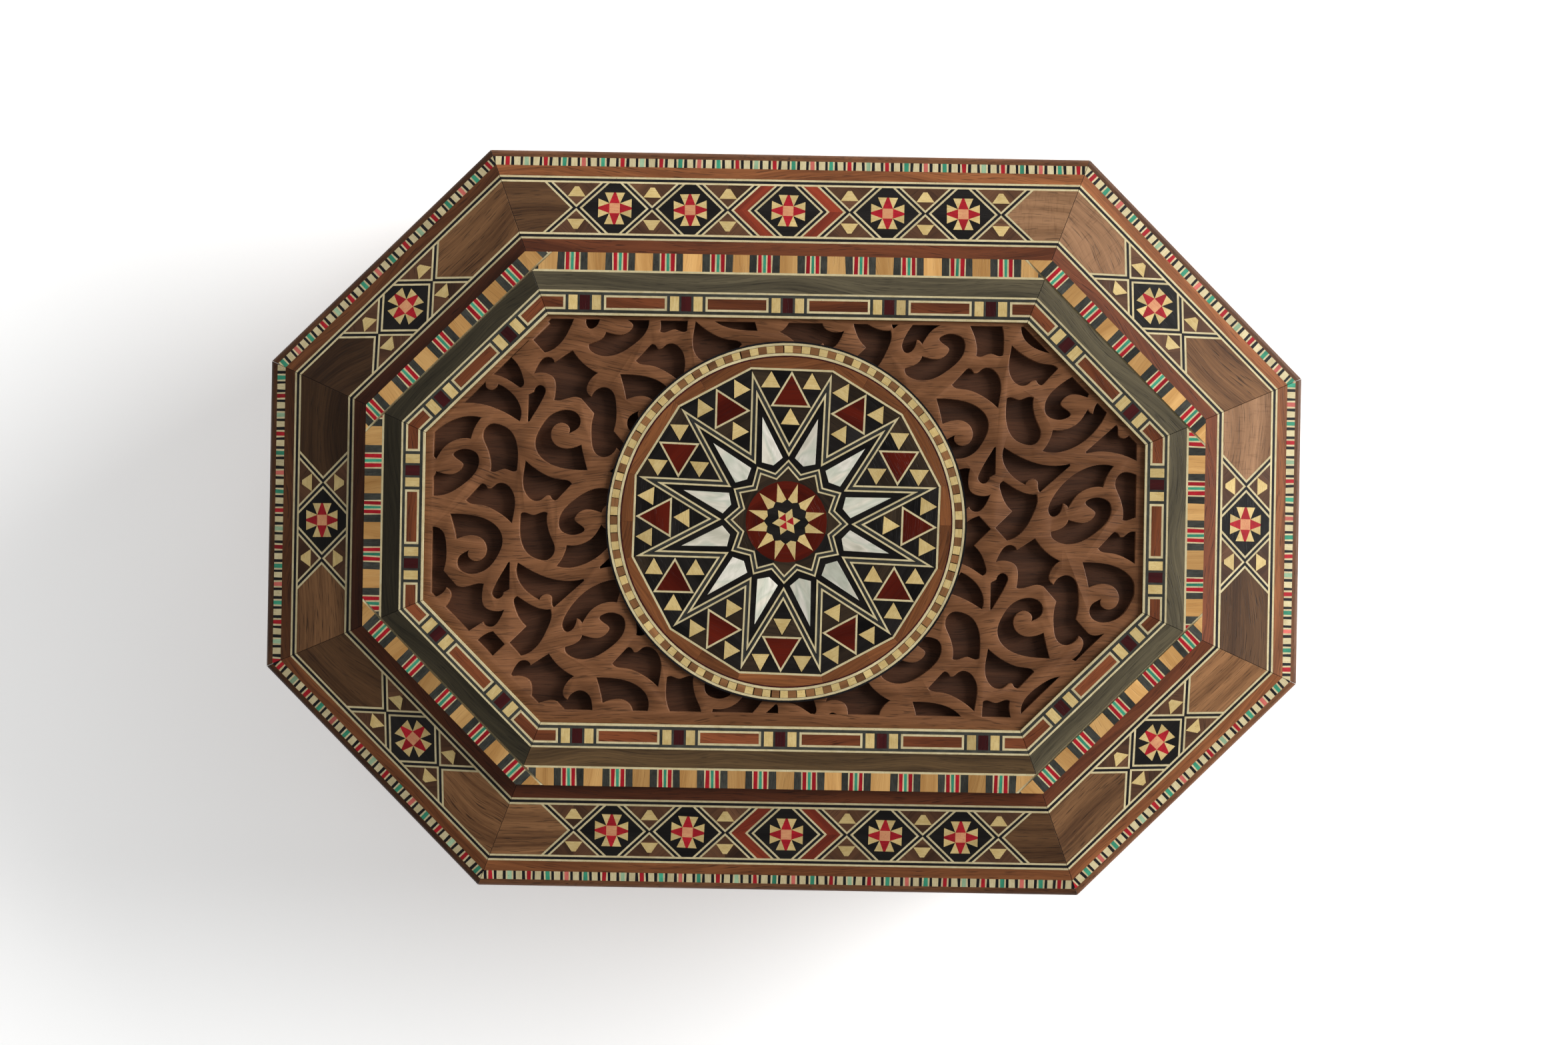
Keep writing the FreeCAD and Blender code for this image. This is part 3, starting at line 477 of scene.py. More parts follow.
def mosaic_band(strip, half, long_side):
    """Lozenges with rosettes, chevrons, triangles and end panels; the strip's middle line is t = 0."""
    string = STRING_WIDE / ROOT2
    inner = LOZENGE_HALF - string
    flat = inner - half
    lozenges, gaps = figure_places(long_side)
    for x in lozenges:
        tile = [(-inner, 0.0), (-flat, -half), (flat, -half), (inner, 0.0), (flat, half), (-flat, half)]
        strip.lay("ebony", [(x + s, t) for s, t in tile])
        rosette(strip.raised(SUNK), x)
        for d in (1, -1):
            all_arms(strip, x - d * LOZENGE_HALF, half, d, long_side and x == 0.0)
    if long_side:
        near = LOZENGE_HALF + string
        far = LOZENGE_HALF + CHEVRON_WIDE - string
        chevron = [(near, 0.0), (far, 0.0), (far - half, half), (near - half, half)]
        for d, e in ((1, 1), (1, -1), (-1, 1), (-1, -1)):
            strip.lay("chevron", turned(chevron, d, e), along=strip.slant(-d, e))
        all_arms(strip, LOZENGE_HALF + CHEVRON_WIDE, half, -1)
        all_arms(strip, -LOZENGE_HALF - CHEVRON_WIDE, half, 1)
    last = gaps[-1] + TIP_GAP / 2
    all_arms(strip, last, half, 1)
    all_arms(strip, -last, half, -1)
    low = string - TIP_GAP / 2
    for x in gaps:
        for d in (1, -1):
            gap_figure(strip, x, low, half, d)
    start = last + string
    shoulder = start + half
    for d, tone in zip((-1, 1), PANEL_TONES[strip.side]):
        panel = [(start, 0.0), (shoulder, -half), (LENGTH, -half), (LENGTH, half), (shoulder, half)]
        kind = "fleck_walnut" if tone > PALE_TONE else "panel_walnut"
        strip.lay(kind, turned(panel, d, 1), PANEL_CHAMFER, tone)


BONE_BASE, BONE_TOP, BONE_TOP_HALF = 3.25, 6.1, 0.55
# how light the panels at the start and end of each side's mosaic are; part of it is the room's shade
PANEL_TONES = [
    (1.05, 0.5), (0.65, 1.05), (0.42, 1.35), (0.8, 1.35),
    (1.2, 0.42), (0.75, 0.25), (0.22, 0.85), (0.5, 1.1),
]
PALE_TONE = 1.15
PANEL_CHAMFER = 0.05


def gap_figure(strip, x, low, half, d):
    """The triangle between two figures: a bone piece, and dark ones beside it and below it."""
    wide = half - low
    mid = BONE_BASE
    mid_wide = mid - low
    apex, peak = (x, low * d), (x, half * d)
    left, right = (x - wide, half * d), (x + wide, half * d)
    mid_left, mid_right = (x - mid_wide, mid * d), (x + mid_wide, mid * d)
    bone = [mid_left, mid_right, (x + BONE_TOP_HALF, BONE_TOP * d), (x - BONE_TOP_HALF, BONE_TOP * d)]
    strip.lay("gap_brown", [apex, mid_right, mid_left])
    strip.lay("gap_brown", [mid_left, (x, mid * d), peak, left], along=strip.slant(1, d))
    strip.lay("gap_brown", [mid_right, right, peak, (x, mid * d)], along=strip.slant(1, -d))
    strip.raised(SUNK).lay("bone", bone)


# ---- the lid's sloping and raised bands ----
# how light each side's pieces are; part of it is the shade of a room lit from the right
OUTER_TONES = [0.95, 1.1, 0.88, 1.25, 1.35, 0.5, 0.35, 0.8]
INNER_TONES = [0.9, 1.2, 1.5, 1.1, 1.05, 0.65, 0.5, 0.85]
BROWN_STAINED = (0,)
STAINED_TONES = [1.1, 1.05, 1.3, 1.1, 1.2, 0.5, 0.42, 0.5]


def lid_line(node, i, start, end, surface, kind, tone):
    """A full-length strip of the lid top, from the line at inset start out to the one at end."""
    lid_strip(node, i, start, surface).line(kind, 0.0, start - end, CHAMFER, tone)


def lid_bands():
    for i in range(8):
        check_row(lid_strip("lid_check_band", i, OUTER_WALNUT, slope_top), OUTER_WALNUT - CHECK_BAND)
        lid_line("lid_walnut_bands", i, OUTER_STRING, OUTER_WALNUT, slope_top, "walnut", OUTER_TONES[i])
        stringing(lid_strip("lid_stringing", i, MOSAIC, slope_top), MOSAIC - OUTER_STRING)
        lean = math.cos(math.atan(SLOPE))
        scale = SIDES[i][2]
        half = (INNER_STRING - MOSAIC) / 2 * scale / lean
        band = lid_strip("lid_rosette_tiles", i, (MOSAIC + INNER_STRING) / 2, slope_top, -lean / scale)
        band.slide(MOSAIC_SHIFT[i])
        mosaic_band(band, half, i in LONG_SIDES)
        stringing(lid_strip("lid_stringing", i, INNER_WALNUT, slope_top), INNER_WALNUT - INNER_STRING)
        kind, tone = "inner_walnut", INNER_TONES[i]
        lid_line("lid_walnut_bands", i, STRIPED_BAND, INNER_WALNUT, slope_top, kind, tone)
        striped = lid_strip("lid_striped_bands", i, STAINED_BAND, raised_top)
        cut_by_neighbours(striped, STAINED_BAND, STRIPED_BAND if i % 2 else STAINED_BAND, raised_top)
        striped.line("cream", 0.0, LID_STRIPED_LINE)
        stripes(striped, LID_STRIPED_LINE, STAINED_BAND - STRIPED_BAND)
        kind = "stained_brown" if i in BROWN_STAINED else "stained"
        lid_line("lid_stained_band", i, BANDING, STAINED_BAND, raised_top, kind, STAINED_TONES[i])
        inner_banding(i)
    for node in ("lid_chevrons", "lid_end_panels", "lid_gap_triangles", "lid_lozenge_stringing"):
        pieces("panel_walnut", "lid", node)


LONG_REPEAT, SHORT_REPEAT = 27.2, 24.9
GROUP_WIDE = sum(length for _, length in SQUARES)
BANDING_CREAM, BANDING_START, BANDING_END, BANDING_PALE = 0.6, 1.4, 1.25, 0.5
BANDING_FRAME, BANDING_TONE = 0.55, 1.25
BANDING_SHIFT = [0.0, 2.0, -0.6, -1.3, 0.0, 0.9, 0.2, -1.0]


def inner_banding(i):
    """Walnut rectangles framed in cream, and groups of squares, between dark and cream lines."""
    strip = lid_strip("lid_inlay_banding", i, FRET_EDGE, raised_top)
    wide = FRET_EDGE - BANDING
    strip.slide(BANDING_SHIFT[i])
    a, t0, t1, b = BANDING_CREAM, BANDING_START, wide - BANDING_END, wide - BANDING_PALE
    for kind, low, high in (("cream", 0.0, a), ("slate", a, t0), ("slate", t1, b), ("cream", b, wide)):
        strip.line(kind, low, high)
    low, high = t0 + BANDING_FRAME, t1 - BANDING_FRAME
    centres = [-SHORT_REPEAT / 2, SHORT_REPEAT / 2]
    if i in LONG_SIDES:
        centres = [k * LONG_REPEAT for k in range(-2, 3)]
    start = -LENGTH
    for c in centres + [None]:
        end = LENGTH if c is None else c - GROUP_WIDE / 2
        strip.lay("cream", bar(start, end, t0, low))
        strip.lay("cream", bar(start, end, high, t1))
        strip.lay("inner_walnut", bar(start, end, low, high), tone=BANDING_TONE)
        if c is not None:
            s = end
            for kind, length in SQUARES:
                strip.lay(kind, bar(s, s + length, t0, t1), along=strip.across_way())
                s += length
            start = s


# ---- mouldings and the outside of the walls ----
def arc(centre, radius, start, end, count=6):
    """Points of an arc in (inset, height), with angles in degrees; inset grows inwards."""
    points = []
    for k in range(count + 1):
        angle = math.radians(start + (end - start) * k / count)
        points.append((centre[0] - radius * math.cos(angle), centre[1] + radius * math.sin(angle)))
    return points


def rounded(outer, top, radius, end=90):
    """The round upper edge of a profile."""
    return arc((outer + radius, top - radius), radius, 0, end)


def moulding(kind, body, node, i, profile, top=False, start=None, end=None, tone=None):
    """A length with a profile of (inset, height), mitred where it is given no start or end."""
    along = tangent(i)
    rings = [[], []]
    for w, z in profile:
        flat = normal(i) * reach(i, w, top)
        a = corner(i - 1, w, top) + along * MITRE_GAP if start is None else flat + along * start
        b = corner(i, w, top) - along * MITRE_GAP if end is None else flat + along * end
        rings[0].append(lift(a, z))
        rings[1].append(lift(b, z))
    if facing(rings[1]).dot(along) < 0:
        rings = [ring[::-1] for ring in rings]
    group = pieces(kind, body, node)
    group.smooth = True
    group.solid(rings, along, normal(i), tone)


def back_rim():
    """The rear of the rim, bevelled below so that the lid can lean back and notched over the hinges."""
    bevel = math.tan(math.radians(STOP_BEVEL))
    over = [(RIM_INSET, PART_LINE + (AXIS_INSET - RIM_INSET) * bevel)]
    over += rounded(RIM_INSET, RIM_TOP, RIM_RADIUS) + [(FACE_INSET, RIM_TOP)]
    plain = [(FACE_INSET, LID_BOTTOM), (AXIS_INSET - PART_GAP / 2 / bevel, LID_BOTTOM)] + over
    room = HINGE_ROOM
    low_edge = AXIS_INSET - room * math.cos(math.radians(STOP_BEVEL))
    notched = [(FACE_INSET, PART_LINE + room)]
    notched += arc((AXIS_INSET, PART_LINE), room, NOTCH_START, STOP_BEVEL, 5)[:-1]
    notched += [(low_edge, PART_LINE + room * math.sin(math.radians(STOP_BEVEL)))] + over
    for k, (start, end) in enumerate(zip([None] + HINGE_CUTS, HINGE_CUTS + [None])):
        profile = notched if k % 2 else plain
        moulding("moulding", "lid", "lid_rim_moulding", BACK, profile, False, start, end)


EDGING_FOOT, EDGING_END, RIM_FOOT = 0.7, 85, 1.0
# how light the edging is on each side, front first and anticlockwise; part of it is the wood's own tone
# and part is painted shade of a room lit from the right
EDGING_TONES = [1.1, 1.3, 0.95, 0.75, 1.3, 0.65, 0.6, 0.5]


def lid_sides():
    edge_top = slope_top(EDGE_ROUND)
    for i in range(8):
        edging = [(CHECK_BAND, LID_WALL_TOP)]
        edging += arc((EDGING_FOOT, LID_WALL_TOP + EDGING_FOOT), EDGING_FOOT, -90, 0, 4)
        edging += rounded(0.0, edge_top, EDGE_ROUND, EDGING_END)
        edging += [(CHECK_BAND, slope_top(CHECK_BAND))]
        moulding("edging", "lid", "lid_edging", i, edging, True, tone=EDGING_TONES[i])
        if i != BACK:
            rim = [(FACE_INSET, LID_BOTTOM)]
            rim += arc((RIM_INSET + RIM_FOOT, LID_BOTTOM + RIM_FOOT), RIM_FOOT, -90, 0, 4)
            rim += rounded(RIM_INSET, RIM_TOP, RIM_RADIUS) + [(FACE_INSET, RIM_TOP)]
            moulding("moulding", "lid", "lid_rim_moulding", i, rim)
        else:
            back_rim()
        middle_row = (RIM_TOP + LID_WALL_TOP) / 2
        z0, z1 = middle_row - STRIPED_ROW / 2, middle_row + STRIPED_ROW / 2
        for start, end in ((z1, LID_WALL_TOP), (RIM_TOP, z0)):
            wall_strip("lid", "lid_side_veneer", i, start).line("walnut", 0.0, end - start, CHAMFER)
        striped_row(wall_strip("lid", "lid_striped_bands", i, z0), STRIPED_ROW)


def striped_row(strip, tall):
    strip.line("cream", 0.0, SIDE_STRIPED_LINE)
    strip.line("cream", tall - SIDE_STRIPED_LINE, tall)
    stripes(strip, SIDE_STRIPED_LINE, tall - SIDE_STRIPED_LINE)


def body_sides():
    half_rows = [
        ("body_check_bands", CHECK_ROW), ("body_walnut_veneer", OUTER_WALNUT_ROW),
        ("body_striped_bands", STRIPED_ROW), ("body_walnut_veneer", INNER_WALNUT_ROW),
        ("body_stringing", STRING_ROW),
    ]
    mosaic_row = BODY_TOP - PLINTH_HEIGHT - 2 * sum(tall for _, tall in half_rows)
    rows = half_rows + [("body_mosaic_bands", mosaic_row)] + half_rows[::-1]
    for i in range(8):
        z = PLINTH_HEIGHT
        for node, tall in rows:
            strip = wall_strip("box_body", node, i, z)
            if node == "body_check_bands":
                if i == BACK and z > PART_LINE / 2:
                    cuts = [-LENGTH] + HINGE_CUTS + [LENGTH]
                    strip.spans = list(zip(cuts[::2], cuts[1::2]))
                check_row(strip, tall)
            elif node == "body_walnut_veneer":
                strip.line("walnut", 0.0, tall, CHAMFER)
            elif node == "body_striped_bands":
                striped_row(strip, tall)
            elif node == "body_stringing":
                stringing(strip, tall)
            elif node == "body_mosaic_bands":
                strip.origin = strip.origin + UP * (tall / 2)
                mosaic_band(strip, tall / 2, i in LONG_SIDES)
            z += tall
        face = FACE_INSET + VENEER
        plinth = [(face, 0.0), (PLINTH_INSET, 0.0)]
        plinth += rounded(PLINTH_INSET, PLINTH_HEIGHT, PLINTH_RADIUS) + [(face, PLINTH_HEIGHT)]
        moulding("moulding", "box_body", "plinth_moulding", i, plinth)


# ---- medallion ----
FACE_Z = HEIGHT - FRET_DROP + FLANGE + MEDALLION_INLAY
DROP = -UP * MEDALLION_INLAY


def polar(radius, degrees):
    angle = math.radians(degrees + MEDALLION_TURN)
    return CENTRE + Vector((math.cos(angle), math.sin(angle), 0.0)) * radius + UP * FACE_Z


def kite(turn, tip, shoulder, spread, root):
    """Four points on radii of the medallion, its shoulders spread by degrees from its middle line."""
    right, left = polar(shoulder, turn + spread), polar(shoulder, turn - spread)
    return [polar(tip, turn), right, polar(root, turn), left]


def towards(a, b):
    return (b - a).normalized()


def inlay(kind, node, outline, along, chamfer=0.0, sink=0.0):
    points = [p - UP * sink for p in outline]
    pieces(kind, "lid", node).prism(points, DROP * (1.0 - sink / MEDALLION_INLAY), along, chamfer)


def zigzag(outer, inner, turn):
    points = []
    for k in range(12):
        points.append(polar(outer, turn + TURN * k))
        points.append(polar(inner, turn + TURN * (k + 0.5)))
    return points


def inset_zigzag(outer, inner, turn, width):
    half_step = math.radians(TURN / 2)
    half_point = math.atan2(inner * math.sin(half_step), outer - inner * math.cos(half_step))
    half_valley = half_point + half_step
    return zigzag(outer - width / math.sin(half_point), inner - width / math.sin(half_valley), turn)


STAR_LAYERS = [
    ("cream", 0.27), ("black", 0.09), ("slate", 0.12), ("black", 0.06),
    ("slate", 0.10), ("black", 0.09), ("cream", 0.27),
]


def star_stringing(outer, inner, turn, width):
    """A closed zigzag of thin veneers, mitred at each point."""
    start = 0.0
    for kind, share in STAR_LAYERS:
        a = inset_zigzag(outer, inner, turn, width * start)
        b = inset_zigzag(outer, inner, turn, width * (start + share))
        for k in range(24):
            m = (k + 1) % 24
            inlay(kind, "medallion_stringing", [a[k], a[m], b[m], b[k]], towards(a[k], a[m]))
        start += share


RING_LINES = [
    (44.2, 44.5, "dark_red"), (44.55, 45.2, "cream"), (47.3, 47.9, "cream"), (47.95, 48.4, "black"),
]
RING_SPANS, RING_STEPS = 40, 3
RING_ROW, RING_BLOCKS, RING_GAP, RING_JITTER = (45.32, 47.2), 124, 0.06, 0.1


def ring_piece(kind, r0, r1, a0, a1, steps):
    """A piece of the border between two radii and two directions in degrees."""
    outer, inner = [[polar(r, a0 + (a1 - a0) * k / steps) for k in range(steps + 1)] for r in (r1, r0)]
    inlay(kind, "medallion_border_ring", outer + inner[::-1], towards(outer[0], outer[-1]))


def border_ring():
    """Chequered blocks between two pale lines, with a dark-red line inside and a black one outside."""
    span = 360.0 / RING_SPANS
    for r0, r1, kind in RING_LINES:
        for k in range(RING_SPANS):
            ring_piece(kind, r0, r1, span * k, span * k + span, RING_STEPS)
    pitch = 360.0 / RING_BLOCKS
    for k in range(RING_BLOCKS):
        a = pitch * k + random.gauss(0.0, RING_JITTER)
        ring_piece("bone" if k % 2 else "check_brown", *RING_ROW, a + RING_GAP, a + pitch - RING_GAP, 1)


CUT_STRAY, CUT_STEPS, WALNUT_CHAMFER = 6.0, 6, 0.06


def walnut_ring():
    """Segments between the dodecagon and the border, some of them in two lengths."""
    half = TURN / 2
    for k in range(12):
        cuts = [-half, half]
        if k % 2 == 0:
            cuts = [-half, random.uniform(-CUT_STRAY, CUT_STRAY), half]
        for a0, a1 in zip(cuts, cuts[1:]):
            turns = [TURN * k + a0 + (a1 - a0) * s / CUT_STEPS for s in range(CUT_STEPS + 1)]
            outer = [polar(BORDER_R, t) for t in turns]
            flat = FIELD_R * math.cos(math.radians(half))
            ends = (turns[0], turns[-1])
            inner = [polar(flat / math.cos(math.radians(t - TURN * k)), t) for t in ends]
            outline = outer + inner[::-1]
            inlay("ring_walnut", "medallion_walnut_ring", outline, towards(*inner), WALNUT_CHAMFER)


def star_cell(k):
    """The triangle between two points of the star, divided into small triangles."""
    half = TURN / 2
    turn = TURN * k
    base_r = FIELD_R * math.cos(math.radians(half)) - FIELD_LINE
    valley = polar(STAR_VALLEY_R, turn)
    stretch = (base_r - STAR_VALLEY_R) / (STAR_TIP_R * math.cos(math.radians(half)) - STAR_VALLEY_R)
    left, right = [valley + (polar(STAR_TIP_R, turn + d * half) - valley) * stretch for d in (1, -1)]
    side_way = towards(right, left)

    def node_at(row, column):
        """Row 0 is the valley; column 0 is the edge to the right-hand point."""
        return valley + (right - valley) * (row / CELL_ROWS) + (left - right) * (column / CELL_ROWS)

    def shrink(points, share):
        mid = sum(points, Vector((0.0, 0.0, 0.0))) / len(points)
        return [mid + (p - mid) * share for p in points]

    node = "medallion_ebony_ground"
    for row in range(CELL_ROWS):
        for column in range(row + 1):
            if (row, column) == (2, 1):
                continue
            down = [node_at(row, column), node_at(row + 1, column), node_at(row + 1, column + 1)]
            brown = row in (1, 3) and random.random() < CELL_BROWN
            inlay("ebony_brown" if brown else "ebony", node, down, side_way)
    for row, column in ((3, 0), (3, 2), (1, 0)):
        up = [node_at(row, column), node_at(row, column + 1), node_at(row + 1, column + 1)]
        inlay("ebony", node, up, side_way, sink=SUNK)
        moved = []
        for p in shrink(up, BONE_SHARE):
            moved.append(p + Vector((random.gauss(0.0, BONE_STRAY), random.gauss(0.0, BONE_STRAY), 0.0)))
        inlay("bone", "medallion_bone_triangles", moved, side_way, FINE_CHAMFER)
    big = [node_at(2, 0), node_at(2, 2), node_at(4, 2)]
    inlay("ebony", node, big, side_way, sink=SUNK)
    outline = shrink(big, RED_SHARE)
    if facing(outline).z < 0:
        outline = outline[::-1]
    core = inset(outline, UP, RED_FRAME)
    for m in range(3):
        n = (m + 1) % 3
        quad = [outline[m], outline[n], core[n], core[m]]
        inlay("cream", "medallion_red_triangles", quad, towards(outline[m], outline[n]))
    inlay("red_wood", "medallion_red_triangles", core, side_way, FINE_CHAMFER)


def medallion():
    half = TURN / 2
    border_ring()
    walnut_ring()
    ground = [polar(FIELD_R - GROUND_GAP, half + TURN * k) for k in range(12)]
    inlay("ebony", "medallion_ebony_ground", ground, Vector((1.0, 0.0, 0.0)), sink=2 * SUNK)
    line = FIELD_LINE / math.cos(math.radians(half))
    for k in range(12):
        a, b = half + TURN * k, half + TURN * (k + 1)
        quad = [polar(FIELD_R, a), polar(FIELD_R, b), polar(FIELD_R - line, b), polar(FIELD_R - line, a)]
        inlay("cream", "medallion_stringing", quad, towards(*quad[:2]))
        star_cell(k)
    star_stringing(STAR_TIP_R, STAR_VALLEY_R, half, STAR_STRING)
    star_stringing(RAYS_TIP_R, RAYS_VALLEY_R, 0.0, RAYS_STRING)
    for k in range(12):
        shape = kite(TURN * k + half, KITE_TIP_R, KITE_SHOULDER_R, KITE_SHOULDER_TURN, KITE_ROOT_R)
        inlay("pearl", "pearl_kites", shape, towards(shape[2], shape[0]), KITE_CHAMFER)
    zigzag_ground()
    for k in range(12):
        turn = TURN * k
        near = half - PETAL_SHOULDER_TURN
        red = [polar(PETAL_TIP_R, turn - half), polar(PETAL_SHOULDER_R, turn - near)]
        red += [polar(PETAL_SHOULDER_R, turn + near), polar(PETAL_TIP_R, turn + half)]
        red += [polar(ROUNDEL_R, turn + away) for away in ROUNDEL_POINTS]
        inlay("red_wood", "medallion_roundel", red, towards(red[0], red[4]))
        shape = kite(turn + half, PETAL_TIP_R, PETAL_SHOULDER_R, PETAL_SHOULDER_TURN, PETAL_ROOT_R)
        inlay("bone", "medallion_petals", shape, towards(shape[2], shape[0]), FINE_CHAMFER)
    rose()


def zigzag_ground():
    """Dark pieces between the roundel and the inner zigzag, some black and some brown."""
    points = inset_zigzag(RAYS_TIP_R, RAYS_VALLEY_R, 0.0, RAYS_STRING)
    for k in range(12):
        tip = points[2 * k]
        before, after = points[2 * k - 1], points[(2 * k + 1) % 24]
        base = [polar(ROUNDEL_R, TURN * k + away) for away in ROUNDEL_POINTS]
        kind = "ebony_brown" if random.random() < GROUND_BROWN else "ebony"
        inlay(kind, "medallion_ebony_ground", [before, tip, after] + base, towards(before, after))


ROSE_TURN = 8.0


def rose():
    """A small star on black: six rhombs, three of bone and three of red with bone tips."""
    disc = [polar(PETAL_SHOULDER_R, 10.0 * k) for k in range(36)]
    inlay("ebony", "medallion_rose", disc, Vector((1.0, 0.0, 0.0)), sink=SUNK)
    shoulder = ROSE_R / math.sqrt(3.0)
    for k in range(6):
        turn = ROSE_TURN + 60.0 * k
        centre = polar(0.0, 0.0)
        left, right = polar(shoulder, turn + 30.0), polar(shoulder, turn - 30.0)
        tip = polar(ROSE_R, turn)
        parts = [("red", [centre, right, left]), ("bone", [right, tip, left])]
        if k % 2:
            parts = [("bone", [centre, right, tip, left])]
        for kind, outline in parts:
            inlay(kind, "medallion_rose", outline, towards(centre, tip))


# ---- materials ----
def linear(colour, times=1.0):
    """An sRGB colour of 0 to 255, made lighter or darker by times, as linear light."""
    result = []
    for c in colour:
        c = c * times / 255.0
        result.append(c / 12.92 if c <= 0.04045 else ((c + 0.055) / 1.055) ** 2.4)
    return (*result, 1.0)


SHINE, VARNISH = 0.18, 0.06


class Recipe:
    """Builds the nodes of a material or a world round its one shader."""

    def __init__(self, owner, shader="Principled BSDF"):
        owner.use_nodes = True
        self.owner = owner
        self.tree = owner.node_tree
        self.shader = self.tree.nodes[shader]

    def add(self, kind, **values):
        """A node: names in small letters are its settings, _0 and names with a capital its inputs."""
        node = self.tree.nodes.new("ShaderNode" + kind)
        for key, value in values.items():
            if key[0].islower():
                setattr(node, key, value)
            else:
                key = int(key[1:]) if key[0] == "_" else key.replace("_", " ")
                self.set(node.inputs[key], value)
        return node

    def set(self, socket, value):
        if isinstance(value, bpy.types.NodeSocket):
            self.tree.links.new(value, socket)
        else:
            socket.default_value = value

    def math(self, operation, *values):
        node = self.add("Math", operation=operation)
        for k, value in enumerate(values):
            self.set(node.inputs[k], value)
        return node.outputs[0]

    def times(self, a, b):
        return self.math("MULTIPLY", a, b)

    def plus(self, a, b):
        return self.math("ADD", a, b)

    def scaled(self, vector, scale):
        return self.add("VectorMath", operation="MULTIPLY", _0=vector, _1=scale).outputs[0]

    def in_frame(self):
        """Coordinates in the shared frame, in mm."""
        return self.scaled(self.add("TexCoord").outputs["Object"], (1000.0, 1000.0, 1000.0))

    def noise(self, vector, scale, detail=2.0, rough=0.5, distortion=0.0):
        node = self.add("TexNoise", Vector=vector, Scale=scale, Detail=detail)
        self.set(node.inputs["Roughness"], rough)
        self.set(node.inputs["Distortion"], distortion)
        return node.outputs[0]

    def streaks(self, vector, along, across, detail=2.0, rough=0.5, distortion=0.0):
        """Noise of one fineness along the grain and another across it."""
        return self.noise(self.scaled(vector, (along, across, across)), 1.0, detail, rough, distortion)

    def mix(self, share, a, b, how="MIX"):
        return self.add("Mix", data_type="RGBA", blend_type=how, _0=share, _6=a, _7=b).outputs[2]

    def band(self, value, low, high, to_low=0.0, to_high=1.0):
        node = self.add("MapRange", interpolation_type="SMOOTHSTEP", _0=value, _1=low, _2=high)
        self.set(node.inputs[3], to_low)
        self.set(node.inputs[4], to_high)
        return node.outputs[0]

    def shade(self, **values):
        for key, value in values.items():
            self.set(self.shader.inputs[key.replace("_", " ")], value)

    def varnish(self, colour, rough, coat=VARNISH):
        self.shade(Base_Color=colour, Roughness=rough, Specular_IOR_Level=SHINE)
        self.shade(Coat_Weight=coat, Coat_Roughness=0.15)

    def bump(self, height, depth_mm, strength):
        node = self.add("Bump", Height=height, Strength=strength, Distance=depth_mm * MM)
        self.set(self.shader.inputs["Normal"], node.outputs[0])


def place_of(r, turn=None):
    """Coordinates in mm along, across and through the wood: the piece's own, or the frame's turned."""
    if turn is None:
        return r.add("Attribute", attribute_name="grain").outputs["Vector"]
    angle = -math.radians(turn)
    return r.add("VectorRotate", rotation_type="Z_AXIS", Vector=r.in_frame(), Angle=angle).outputs[0]


def toned(r, colour):
    """The colour times the piece's lightness; on some sides part of that is painted shade."""
    tone = r.add("Attribute", attribute_name="tone").outputs["Fac"]
    return r.mix(1.0, colour, r.add("CombineXYZ", X=tone, Y=tone, Z=tone).outputs[0], "MULTIPLY")


def timber(name, light, dark, fibre=0.5, pores=0.6, gloss=0.34, fleck=0.0, turn=None, coat=VARNISH):
    """Varnished wood: broad figure, fine fibres and dark pores along the grain, and flecks across it."""
    r = Recipe(bpy.data.materials.new(name))
    spot = place_of(r, turn)
    bend = r.streaks(spot, 0.02, 0.04, 1.0)
    shift = r.add("CombineXYZ", Y=r.times(r.plus(bend, -0.5), 16.0)).outputs[0]
    spot = r.add("VectorMath", operation="ADD", _0=spot, _1=shift).outputs[0]
    broad = r.streaks(spot, 0.010, 0.20, 3.0, 0.55)
    fine = r.streaks(spot, 0.05, 1.9, 3.0, 0.65)
    hair = r.streaks(spot, 0.30, 8.0, 2.0, 0.6)
    pore = r.band(r.streaks(spot, 0.20, 4.6, 1.0, 0.4), 0.60, 0.70)
    share = r.times(r.band(broad, 0.3, 0.7), 1.0 - fibre * 0.4)
    share = r.plus(share, r.times(r.plus(fine, -0.42), fibre * 2.2))
    share = r.plus(share, r.times(r.plus(hair, -0.5), fibre * 0.9))
    if fleck:
        cross = r.streaks(spot, 1.6, 0.20, 2.0, 0.7)
        share = r.plus(share, r.times(r.band(cross, 0.5, 0.75), fleck))
    share = r.add("Clamp", _0=share).outputs[0]
    colour = r.mix(share, linear(light), linear(dark))
    if turn is None:
        colour = toned(r, colour)
    colour = r.mix(r.times(pore, pores), colour, linear(dark, 0.4))
    r.varnish(colour, r.plus(r.times(hair, 0.18), gloss), coat)
    height = r.plus(r.times(fine, 0.6), r.times(hair, 0.4))
    r.bump(r.plus(height, r.times(pore, -0.7)), 0.05, 0.55)
    return r.owner


def veneer(name, colour, second):
    """Bone, holly or dyed veneer: an even colour with faint fibres, specks and stains."""
    r = Recipe(bpy.data.materials.new(name))
    spot = place_of(r)
    fine = r.streaks(spot, 0.5, 4.5, 2.0, 0.6)
    cloud = r.noise(spot, 0.35, 3.0, 0.6)
    speck = r.band(r.noise(spot, 3.2, 1.0, 0.4), 0.66, 0.76)
    share = r.plus(r.times(fine, 0.55), r.times(cloud, 0.45))
    tint = toned(r, r.mix(r.band(share, 0.32, 0.68), linear(colour), linear(second)))
    tint = r.mix(r.times(speck, 0.45), tint, linear(second, 0.6))
    r.varnish(tint, r.plus(r.times(cloud, 0.15), 0.32))
    r.bump(fine, 0.03, 0.4)
    return r.owner


PEARL_COLOURS = [
    (0.28, (180, 176, 158)), (0.42, (222, 214, 197)), (0.52, (196, 198, 181)), (0.62, (230, 223, 210)),
    (0.74, (172, 166, 151)),
]


